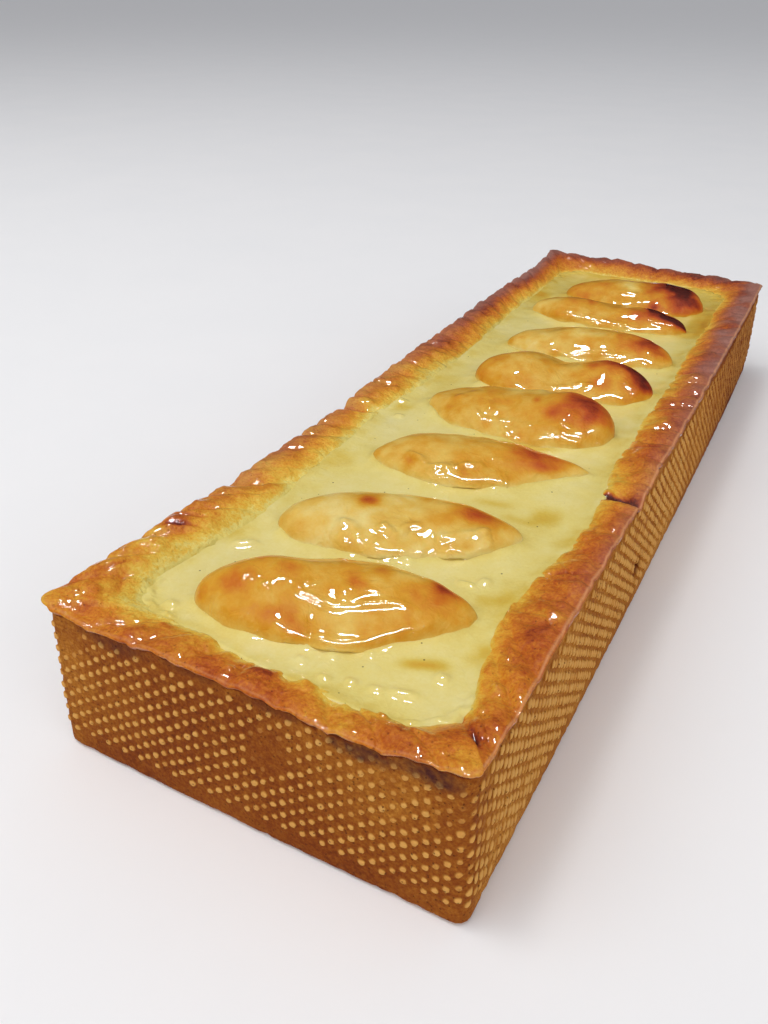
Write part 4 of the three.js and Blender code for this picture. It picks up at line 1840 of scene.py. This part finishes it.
@dataclass(frozen=True)
class Finish:
    """A material of the tart."""

    effects: Effects

    @staticmethod
    def start(name: str) -> tuple[Material, Nodes, Node]:
        """Makes a material with a shader and its output.

        Args:
            name: The material's name.

        Returns:
            The material, its nodes and its shader.
        """
        material = bpy.data.materials.new(name)
        material.use_nodes = True
        material.node_tree.nodes.clear()
        nodes = Nodes(material.node_tree)
        shader = nodes.add("BsdfPrincipled")
        nodes.add("OutputMaterial", {"Surface": shader.outputs["BSDF"]})
        return material, nodes, shader

    @staticmethod
    def hold(shader: Node, levels: dict[str, float | tuple[float, ...]]) -> None:
        """Sets the shader's own sockets, by their names."""
        for name, level in levels.items():
            shader.inputs[name].default_value = level


@dataclass(frozen=True)
class Pastry(Finish):
    """Baked shortcrust: brown and pitted with golden dots on the wall, glazed and golden on the rim."""

    wall: Ramp = (
        (0.0, (92, 34, 2)),
        (0.3, (130, 60, 6)),
        (0.55, (152, 84, 18)),
        (0.8, (178, 112, 34)),
        (1.0, (204, 144, 62)),
    )
    dots: Ramp = ((0.0, (158, 92, 30)), (0.5, (206, 146, 68)), (1.0, (226, 176, 98)))
    rim: Ramp = (
        (0.0, (226, 206, 112)),
        (0.16, (224, 182, 66)),
        (0.34, (218, 152, 40)),
        (0.52, (202, 116, 24)),
        (0.7, (176, 80, 14)),
        (0.86, (136, 46, 12)),
        (1.0, (78, 20, 8)),
    )
    # Painted shade: the dark purple of the shade under the rim's lip and in the wall's holes.
    shade_and_sheen: Colour = (74, 32, 28)
    # Painted sheen and shade on the rim: a milky purple-pink veil on its far and outer parts, and the shade
    # under its lip.
    rim_shade_and_sheen: Colour = (156, 104, 90)
    edge: Colour = (214, 154, 106)
    crumb: Colour = (88, 36, 8)
    pore: Colour = (112, 40, 10)

    def material(self) -> Material:
        """Makes the pastry's material.

        Returns:
            The material.
        """
        material, nodes, shader = self.start("baked_pastry")
        rim_level = nodes.level("rim")
        on_rim = nodes.step(rim_level, 0.35, 0.65)
        tone, shade_and_sheen = nodes.level("tone"), nodes.level("shade_and_sheen")
        pits = nodes.group(self.effects.pits.tree, spacing=0.8, share=0.34, width=0.28).outputs[0]
        pores = nodes.group(self.effects.pits.tree, spacing=0.9, share=0.24, width=0.28).outputs[0]
        wall = self.wall_colour(nodes, tone, shade_and_sheen, pits)
        rim = self.rim_colour(nodes, tone, shade_and_sheen, pores)
        edge = nodes.math("SUBTRACT", rim_level, 1.0, clamp=True)
        rim = nodes.mix(nodes.math("MULTIPLY", edge, 0.75), rim, linear(self.edge))
        nodes.feed(shader.inputs["Base Color"], nodes.mix(on_rim, wall, rim))
        away = nodes.math("SUBTRACT", 1.0, nodes.math("MULTIPLY", edge, 2.5), clamp=True)
        wet = nodes.math("MULTIPLY", nodes.level("wet"), nodes.math("MULTIPLY", on_rim, away))
        nodes.feed(shader.inputs["Coat Weight"], wet)
        rough = nodes.add("Mix", {0: on_rim, 2: 0.88, 3: 0.6}, data_type="FLOAT").outputs[0]
        nodes.feed(shader.inputs["Roughness"], nodes.math("ADD", rough, nodes.math("MULTIPLY", pits, 0.1)))
        self.hold(shader, {"Coat Roughness": 0.05, "Specular IOR Level": 0.12})
        grain = nodes.math("MULTIPLY", nodes.noise(0.7, 2.0), 0.00022)
        dents = nodes.math("MULTIPLY", pits, -0.0002)
        ripple = nodes.group(self.effects.glaze.tree, size=1.6, warp=0.8).outputs[0]
        wall_height = nodes.math("ADD", grain, dents)
        rim_height = nodes.math("MULTIPLY", ripple, 0.0004)
        rim_height = nodes.math("ADD", rim_height, nodes.math("MULTIPLY", nodes.noise(0.9, 3.0), 0.00022))
        rim_height = nodes.math("ADD", rim_height, nodes.math("MULTIPLY", pores, -0.00012))
        height = nodes.add("Mix", {0: on_rim, 2: wall_height, 3: rim_height}, data_type="FLOAT").outputs[0]
        relief = nodes.add("Bump", {"Height": height, "Distance": 1.0, "Strength": 1.0})
        nodes.feed(shader.inputs["Normal"], relief.outputs["Normal"])
        return material

    def wall_colour(self, nodes: Nodes, tone: Link, shade_and_sheen: Link, pits: Link) -> Socket:
        """Mixes the wall's colour: mottled brown, golden dots, dark pits, and painted shade under the lip and
        in the holes.

        Args:
            nodes: The material's nodes.
            tone: How pale or brown it is.
            shade_and_sheen: How much painted shade it has.
            pits: Where the pits are.

        Returns:
            The colour.
        """
        mottled = nodes.group(self.effects.mottle.tree, level=tone, size=2.4, spread=0.6, grain=0.8)
        wall = nodes.ramp(mottled.outputs[0], self.wall)
        dot = nodes.level("dot")
        dot_tone = nodes.group(self.effects.mottle.tree, level=dot, size=4.0, spread=0.6, grain=0.5)
        golden = nodes.ramp(nodes.math("MULTIPLY", dot_tone.outputs[0], 0.75), self.dots)
        wall = nodes.mix(nodes.step(dot, 0.04, 0.8), wall, golden)
        wall = nodes.mix(nodes.math("MULTIPLY", pits, 0.6), wall, linear(self.crumb))
        # Painted shade under the lip and in the holes.
        return nodes.mix(nodes.math("MULTIPLY", shade_and_sheen, nodes.noise(1.6), clamp=True), wall, linear(self.shade_and_sheen))

    def rim_colour(self, nodes: Nodes, tone: Link, shade_and_sheen: Link, pores: Link) -> Socket:
        """Mixes the rim's colour: golden to brown with fine grain, dark pores in its brown parts, and painted
        sheen and shade.

        Args:
            nodes: The material's nodes.
            tone: How pale or brown it is.
            shade_and_sheen: How much painted sheen and shade it has.
            pores: Where the pores are.

        Returns:
            The colour.
        """
        baked = nodes.group(self.effects.mottle.tree, level=tone, size=2.4, spread=0.44, grain=0.44)
        rim = nodes.ramp(baked.outputs[0], self.rim)
        browned = nodes.math("MULTIPLY", pores, nodes.step(tone, 0.3, 0.7))
        rim = nodes.mix(nodes.math("MULTIPLY", browned, 0.5), rim, linear(self.pore))
        # Painted sheen on the far and outer rim, and painted shade under the lip.
        return nodes.mix(nodes.math("MULTIPLY", shade_and_sheen, 0.85, clamp=True), rim, linear(self.rim_shade_and_sheen))


@dataclass(frozen=True)
class CustardFinish(Finish):
    """Pale yellow baked custard under a clear glaze."""

    tones: Ramp = (
        (0.0, (234, 220, 152)),
        (0.25, (228, 208, 120)),
        (0.5, (216, 184, 76)),
        (0.75, (210, 160, 44)),
        (1.0, (186, 116, 28)),
    )
    speck: Colour = (70, 48, 22)

    def material(self) -> Material:
        """Makes the custard's material.

        Returns:
            The material.
        """
        material, nodes, shader = self.start("baked_custard")
        level = nodes.level("tone")
        tone = nodes.group(self.effects.mottle.tree, level=level, size=5.0, spread=0.3, grain=0.12)
        colour = nodes.ramp(tone.outputs[0], self.tones)
        specks = nodes.group(self.effects.pits.tree, spacing=2.2, share=0.12, width=0.12).outputs[0]
        colour = nodes.mix(nodes.math("MULTIPLY", specks, 0.85), colour, linear(self.speck))
        nodes.feed(shader.inputs["Base Color"], colour)
        ripple = nodes.group(self.effects.glaze.tree, size=1.9, warp=0.8).outputs[0]
        nodes.feed(shader.inputs["Roughness"], nodes.math("ADD", 0.55, nodes.math("MULTIPLY", ripple, 0.15)))
        relief = nodes.add("Bump", {"Height": nodes.math("MULTIPLY", ripple, 0.0002), "Distance": 1.0})
        nodes.feed(shader.inputs["Normal"], relief.outputs["Normal"])
        self.hold(shader, {"Coat Weight": 0.85, "Coat Roughness": 0.05, "Specular IOR Level": 0.12})
        self.hold(shader, {"Subsurface Weight": 0.15, "Subsurface Scale": 0.002})
        self.hold(shader, {"Subsurface Radius": (1.0, 0.8, 0.4)})
        return material


@dataclass(frozen=True)
class AppleFinish(Finish):
    """Soft baked apple, amber to red-brown, under a clear glaze."""

    tones: Ramp = (
        (0.0, (234, 212, 134)),
        (0.2, (228, 187, 86)),
        (0.4, (217, 154, 36)),
        (0.58, (206, 116, 18)),
        (0.75, (186, 76, 14)),
        (0.88, (142, 44, 12)),
        (1.0, (84, 22, 12)),
    )

    def material(self) -> Material:
        """Makes the apple's material.

        Returns:
            The material.
        """
        material, nodes, shader = self.start("glazed_apple")
        level = nodes.level("tone")
        tone = nodes.group(self.effects.mottle.tree, level=level, size=4.0, spread=0.3, grain=0.1)
        nodes.feed(shader.inputs["Base Color"], nodes.ramp(tone.outputs[0], self.tones))
        ripple = nodes.group(self.effects.glaze.tree, size=2.6, warp=1.0).outputs[0]
        nodes.feed(shader.inputs["Roughness"], nodes.math("ADD", 0.55, nodes.math("MULTIPLY", ripple, 0.15)))
        relief = nodes.add("Bump", {"Height": nodes.math("MULTIPLY", ripple, 0.0004), "Distance": 1.0})
        nodes.feed(shader.inputs["Normal"], relief.outputs["Normal"])
        self.hold(shader, {"Coat Weight": 1.0, "Coat Roughness": 0.04, "Specular IOR Level": 0.12})
        self.hold(shader, {"Subsurface Weight": 0.15, "Subsurface Scale": 0.003})
        self.hold(shader, {"Subsurface Radius": (1.0, 0.5, 0.2)})
        return material


@dataclass(frozen=True)
class FloorFinish(Finish):
    """A plain pale floor."""

    pale: Colour = (246, 244, 243)
    grey: Colour = (241, 240, 240)

    def material(self) -> Material:
        """Makes the floor's material.

        Returns:
            The material.
        """
        material, nodes, shader = self.start("pale_floor")
        colour = nodes.mix(nodes.noise(60.0), linear(self.pale), linear(self.grey))
        nodes.feed(shader.inputs["Base Color"], colour)
        self.hold(shader, {"Roughness": 0.8, "Specular IOR Level": 0.1})
        return material


# ---- the set


class Light(Enum):
    """What a lamp is for: even light, or only its reflection in the glaze."""

    FILL = 0
    GLINT = 1


@dataclass(frozen=True)
class Lamp:
    """A lamp: the way to it, its distance, length, breadth and power, what it is for, and its roll."""

    name: str
    toward: tuple[float, float, float]
    distance: float
    length: float
    breadth: float
    power: float
    use: Light = Light.FILL
    roll: float = 0.0

    def build(self, aim: Vector) -> Object:
        """Makes the lamp, turned towards the tart.

        Args:
            aim: The middle of the tart.

        Returns:
            The lamp.
        """
        light = bpy.data.lights.new(self.name, "AREA")
        light.shape, light.size, light.size_y = "ELLIPSE", self.length, self.breadth
        light.energy = self.power
        lamp = bpy.data.objects.new(self.name, light)
        toward = Vector(self.toward).normalized()
        lamp.location = aim + toward * self.distance
        spin = Quaternion((0, 0, 1), math.radians(self.roll))
        lamp.rotation_euler = (toward.to_track_quat("Z", "Y") @ spin).to_euler()
        lamp.visible_diffuse = self.use is Light.FILL
        lamp.visible_glossy = self.use is Light.GLINT
        bpy.context.scene.collection.objects.link(lamp)
        return lamp


@dataclass(frozen=True)
class Studio:
    """The floor, the lights and the surrounding light."""

    lamps: tuple[Lamp, ...] = (
        Lamp("near", (0.22, -0.37, 0.92), 2.4, 1.9, 0.22, 108.0, Light.GLINT, -25.0),
        Lamp("over", (-0.22, 0.17, 0.95), 2.4, 0.36, 0.26, 24.0, Light.GLINT),
        Lamp("low", (0.06, -0.68, 0.72), 2.4, 0.3, 0.14, 9.0, Light.GLINT),
        Lamp("soft", (-0.3, -0.5, 0.85), 1.1, 1.2, 1.2, 5.2),
        Lamp("key", (-0.25, -0.1, 0.92), 2.4, 0.5, 0.5, 8.0),
        Lamp("right", (0.9, -0.4, 0.45), 2.4, 1.8, 1.8, 11.0),
    )
    surround: tuple[float, float, float] = (0.93, 0.95, 1.0)
    surround_strength: float = 0.5
    floor_radius: float = 14.0
    floor_corners: int = 96

    def build(self, aim: Vector, floor: Material) -> None:
        """Sets the studio up round the tart.

        Args:
            aim: The middle of the tart.
            floor: The floor's material.
        """
        world = bpy.data.worlds.new("studio")
        world.use_nodes = True
        background = world.node_tree.nodes["Background"]
        background.inputs["Color"].default_value = (*self.surround, 1.0)
        background.inputs["Strength"].default_value = self.surround_strength
        world.cycles_visibility.glossy = False
        bpy.context.scene.world = world
        for lamp in self.lamps:
            lamp.build(aim)
        turns = np.arange(self.floor_corners) * math.tau / self.floor_corners
        radius = self.floor_radius / MM
        circle = np.column_stack([radius * np.cos(turns), radius * np.sin(turns), 0 * turns])
        points = np.concatenate([circle, [[0, 0, 0]]])
        fan = Wall.fan(np.arange(self.floor_corners), self.floor_corners)
        disc = Skin(points, [fan]).object("floor", floor)
        disc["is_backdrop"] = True


@dataclass(frozen=True)
class View:
    """The camera: the angle it looks from, how far off, and what it looks at as shares of the tart's box."""

    azimuth: float = 28.0
    elevation: float = 31.19
    roll: float = 0.6
    distance: float = 0.2255
    focal_length: float = 30.72
    aim: tuple[float, float, float] = (-0.1768, -0.206, 0.4835)

    def build(self, low: Vector, high: Vector) -> Object:
        """Places the camera.

        Args:
            low: The lowest corner of the tart's box.
            high: Its highest corner.

        Returns:
            The camera, which the scene then uses.
        """
        size = high - low
        middle = (low + high) / 2
        start = Vector((middle.x, middle.y, low.z))
        target = start + Vector(share * side for share, side in zip(self.aim, size))
        around, up = math.radians(self.azimuth), math.radians(self.elevation)
        back = Vector((math.sin(around) * math.cos(up), -math.cos(around) * math.cos(up), math.sin(up)))
        data = bpy.data.cameras.new("view")
        data.lens = self.focal_length
        data.clip_start, data.clip_end = 0.01, 50.0
        camera = bpy.data.objects.new("view", data)
        facing = back.to_track_quat("Z", "Y").to_matrix() @ Matrix.Rotation(math.radians(self.roll), 3, "Z")
        camera.matrix_world = Matrix.Translation(target + back * self.distance) @ facing.to_4x4()
        bpy.context.scene.collection.objects.link(camera)
        bpy.context.scene.camera = camera
        return camera


# ---- the tart


# The sizes of each wedge are its number, x, y, turn, length, breadth, rise, tilt, bow, lean, taper, left
# taper, saddle, scoop and bake.
WEDGES = (
    Wedge(
        *(1, 1.6, -115, 22, 55.5, 23.5, 8.2, -0.15, -0.6, 0.3, 0.28, 0.1, 1.2, 1, 0.37),
        ridges=(
            Ridge(
                (
                    *((-0.24, 1.95), (-0.2, 2.1), (-0.05, 2.2), (0.03, 2.28)),
                    *((0.16, 2.24), (0.46, 2.14), (0.58, 2.28)),
                ),
                height=0.5,
                width=0.9,
            ),
            Ridge(
                (
                    *((-0.33, 3.0), (-0.12, 2.94), (0.13, 2.96), (0.28, 2.94)),
                    *((0.42, 2.82), (0.6, 2.76), (0.78, 2.4)),
                ),
            ),
            Ridge(((-0.11, 2.49), (-0.1, 2.8), (-0.09, 3.1)), -0.4, 0.7),
            Ridge(((-0.85, 2.7), (-0.6, 2.75), (-0.35, 2.85), (-0.1, 2.9)), 0.9, 2.6),
            Ridge(((-0.66, 1.85), (-0.55, 1.82), (-0.46, 2.1)), 0.3, 0.8),
        ),
        marks=listed(
            Mark,
            (0.75, 1.25, 0.1, 0.45, 0.36), (0.7, 1.9, 0.12, 0.3, 0.12), (0.15, 1.8, 0.16, 0.25, 0.08),
            (-0.66, 2.2, 0.12, 0.6, 0.1), (-0.32, 2.2, 0.18, 0.35, -0.08), (0.32, 1.36, 0.06, 0.15, 0.14),
            (-0.29, 1.5, 0.1, 0.15, 0.08), (0.1, 2.0, 0.05, 0.13, 0.0, 0.35),
            (0.1, 2.0, 0.02, 0.05, 0.0, -0.25), (-0.62, 1.92, 0.02, 0.07, 0.0, 0.25),
            (-0.57, 1.98, 0.018, 0.06, 0.0, 0.25), (-0.52, 1.88, 0.02, 0.06, 0.0, 0.2),
            (-0.47, 2.1, 0.022, 0.07, 0.0, 0.3), (-0.43, 2.18, 0.018, 0.06, 0.0, 0.25),
            (-0.44, 2.02, 0.016, 0.05, 0.0, 0.2), (-0.24, 1.96, 0.02, 0.07, 0.0, 0.3),
            (-0.17, 1.9, 0.026, 0.08, 0.0, 0.35), (-0.11, 1.94, 0.02, 0.06, 0.0, 0.3),
            (-0.15, 2.02, 0.018, 0.05, 0.0, 0.25),
        ),
    ),
    Wedge(
        *(2, -0.2, -84.2, 22, 54.5, 21, 5.8, -0.15, 0.2, 0.3, 0.12, -0.1, 0.6, 0.5, 0.2),
        ridges=(
            Ridge(((-0.6, 2.75), (-0.2, 2.85), (0.1, 2.85), (0.25, 2.85)), 1.1, 2.5),
            Ridge(((0.3, 2.5), (0.5, 2.54), (0.75, 2.4)), 0.8, 2.4),
            Ridge(((-0.46, 2.3), (-0.36, 2.36), (-0.3, 2.6), (-0.26, 2.7)), 0.5),
            Ridge(
                ((-0.19, 2.36), (-0.1, 2.3), (-0.03, 2.5), (0.04, 2.4), (0.07, 2.2), (0.21, 2.12)),
                height=0.85,
                width=1.0,
            ),
            Ridge(((0.3, 2.5), (0.41, 2.5), (0.47, 2.46), (0.61, 2.38), (0.7, 2.2)), 0.5, 1.0),
            Ridge(((0.34, 3.05), (0.43, 2.9), (0.55, 3.0), (0.63, 2.94), (0.8, 2.6)), 0.75),
        ),
        marks=listed(
            Mark,
            (-0.27, 1.45, 0.09, 0.3, 0.3), (0.64, 1.5, 0.2, 0.6, 0.42), (0.35, 1.9, 0.12, 0.3, 0.12),
            (0.21, 1.03, 0.08, 0.25, 0.12), (0.55, 2.8, 0.12, 0.2, 0.14), (-0.6, 1.8, 0.25, 0.7, -0.06),
            (0.7, 2.25, 0.06, 0.16, 0.0, 0.6), (-0.44, 2.4, 0.07, 0.18, 0.0, 0.9),
            (-0.3, 2.75, 0.04, 0.1, 0.0, 0.3),
        ),
    ),
    Wedge(
        *(3, 3, -46.6, 18.9, 54.6, 21.6, 5.8, -0.05, -1.2, 0.25, 0.5, 0, 0.2, 0.5, 0.28),
        ridges=(
            Ridge(((-0.66, 2.7), (-0.4, 2.8), (-0.1, 2.85), (0.3, 2.85)), 0.9, 2.4),
            Ridge(((-0.66, 2.2), (-0.52, 2.4), (-0.42, 2.62), (-0.32, 2.5), (-0.24, 2.7)), 0.7, 1.0),
            Ridge(((-0.2, 2.65), (-0.12, 2.42), (0.02, 2.36), (0.06, 2.5)), 0.7, 0.9),
            Ridge(((0.1, 2.1), (0.3, 2.2), (0.6, 2.0)), 0.3, 1.1),
        ),
        marks=listed(
            Mark,
            (0.5, 1.6, 0.22, 0.7, 0.36, 0.1), (0.6, 2.3, 0.18, 0.3, 0.22), (-0.62, 2.5, 0.08, 0.25, 0.16),
            (-0.52, 2.38, 0.055, 0.15, 0.0, 0.7), (-0.36, 2.6, 0.055, 0.13, 0.0, 0.6),
            (-0.24, 2.52, 0.055, 0.15, 0.0, 0.7), (0.8, 1.6, 0.12, 0.5, 0.12),
        ),
    ),
    Wedge(
        *(4, 1.8, -16.4, 1.5, 54, 25.4, 7.5, 0.3, -1.2, 0.3, -0.3, 0.1, 0.9, 0.7, 0.33),
        ridges=(
            Ridge(
                ((-0.44, 2.35), (-0.26, 2.65), (0.06, 2.5), (0.27, 2.6), (0.52, 2.5), (0.69, 2.7)),
                height=0.6,
                width=1.2,
            ),
            Ridge(((0.27, 2.95), (0.56, 2.86), (0.81, 3.0)), 0.6, 1.1),
            Ridge(((-0.05, 2.7), (0.04, 2.85), (-0.05, 2.95)), 0.5, 0.8),
            Ridge(((-0.4, 3.0), (-0.35, 3.04), (-0.3, 3.08)), -0.3, 0.7),
        ),
        marks=listed(
            Mark,
            (0.7, 1.6, 0.28, 1.0, 0.34, 0.1), (0.18, 1.78, 0.05, 0.14, 0.22, 0.1), (0.5, 1.5, 0.1, 0.4, 0.14),
            (0.85, 2.1, 0.12, 0.4, 0.12), (0.38, 2.1, 0.1, 0.3, 0.12), (0.85, 2.43, 0.06, 0.2, -0.12, 0.3),
            (0.59, 2.25, 0.06, 0.16, 0.0, 0.6), (-0.24, 2.25, 0.06, 0.18, 0.0, 0.7),
            (-0.62, 2.0, 0.04, 0.12, 0.0, 0.4),
        ),
        level=32.55,
    ),
    Wedge(
        *(5, 4.9, 12.8, 11, 53.4, 22.6, 7.6, 0, 0.6, 0.3, -0.25, -0.2, 2.2, 0.8, 0.36),
        ridges=(
            Ridge(((-0.12, 2.7), (0.03, 2.6), (0.16, 2.52), (0.33, 2.48), (0.24, 2.76)), 0.6, 1.0),
            Ridge(((0.66, 2.31), (0.82, 2.47), (0.81, 2.77)), 0.4, 0.9),
        ),
        marks=listed(
            Mark,
            (0.78, 1.4, 0.26, 0.6, 0.42, 0.1), (0.4, 1.4, 0.16, 0.6, 0.16), (0.9, 2.2, 0.14, 0.5, 0.28),
            (0.48, 2.4, 0.14, 0.25, 0.14), (-0.68, 1.15, 0.08, 0.2, 0.14),
        ),
    ),
    Wedge(
        *(6, 3.7, 42.8, 6.5, 54.2, 22.4, 6.5, 0.1, 2.4, 0.25, 0.02, 0.05, 0, 0.5, 0.29),
        ridges=(
            Ridge(((-0.32, 2.79), (-0.16, 3.0), (-0.08, 2.79), (0.2, 2.7), (0.54, 2.5)), 0.35, 0.9),
            Ridge(((0.7, 2.3), (0.9, 2.3)), 0.3, 0.8),
        ),
        marks=listed(
            Mark,
            (0.72, 1.5, 0.22, 0.8, 0.36, 0.1), (0.55, 2.0, 0.1, 0.3, 0.12), (0.9, 2.3, 0.1, 0.5, 0.12),
            (0.35, 1.7, 0.1, 0.4, 0.08),
        ),
    ),
    Wedge(
        *(7, 0, 78, 2, 56, 17.6, 6.4, -0.05, 0, 0.25, -0.1, -0.1, 1.2, 0.6, 0.38),
        ridges=(
            Ridge(((-0.75, 2.75), (-0.2, 2.85), (0.35, 2.8)), 0.6, 2.3),
            Ridge(((0.55, 2.3), (0.74, 2.35), (0.88, 2.4)), 0.4, 0.9),
        ),
        marks=listed(
            Mark,
            (0.55, 1.25, 0.1, 0.6, 0.6, 0.2), (0.92, 1.8, 0.14, 0.7, 0.6, 0.1),
            (0.72, 1.95, 0.12, 0.35, 0.3, 0.2), (0.74, 1.5, 0.12, 0.5, 0.34), (-0.25, 1.4, 0.14, 0.6, 0.14),
            (0.4, 2.2, 0.15, 0.5, 0.14), (-0.78, 1.9, 0.2, 0.8, -0.12),
        ),
    ),
    Wedge(
        *(8, 2.6, 104.3, 4, 51.8, 23, 6.6, 0.08, 0.7, 0.3, -0.3, 0, 0.3, 0.3, 0.4),
        ridges=(Ridge(((-0.2, 2.2), (-0.07, 2.29), (0.1, 2.3)), 0.35, 0.9),),
        marks=listed(
            Mark,
            (0.66, 1.7, 0.24, 1.0, 0.5, 0.1), (0.5, 1.2, 0.08, 0.4, 0.3), (0.9, 2.5, 0.2, 0.6, 0.25),
            (0.3, 1.5, 0.2, 0.6, 0.18), (0.35, 2.8, 0.1, 0.2, 0.25), (-0.05, 1.9, 0.14, 0.5, -0.12, 0.5),
            (-0.5, 1.6, 0.2, 0.5, 0.04),
        ),
    ),
)


def main() -> None:
    """Builds the tart and its studio, and logs how many points and faces each piece has."""
    logging.basicConfig(level=logging.INFO, format="%(message)s")
    solid_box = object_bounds()
    case = Case()
    effects = Effects()
    bpy.context.scene.view_settings.view_transform = "Standard"
    low, high = solid_box
    View().build(Vector(low), Vector(high))
    Studio().build((Vector(low) + Vector(high)) / 2, FloorFinish(effects).material())
    rim = Rim(case)
    wall = Wall(case, rim, np.array(low) / MM, np.array(high) / MM)
    pieces = [Crust(wall, rim).build(Pastry(effects).material())]
    pieces += [Custard(case, WEDGES).build(CustardFinish(effects).material())]
    pieces += Apples(WEDGES, case.centring).build(AppleFinish(effects).material())
    for piece in pieces:
        LOG.info("%s: %d points, %d faces", piece.name, len(piece.data.vertices), len(piece.data.polygons))


if __name__ == "__main__":
    main()
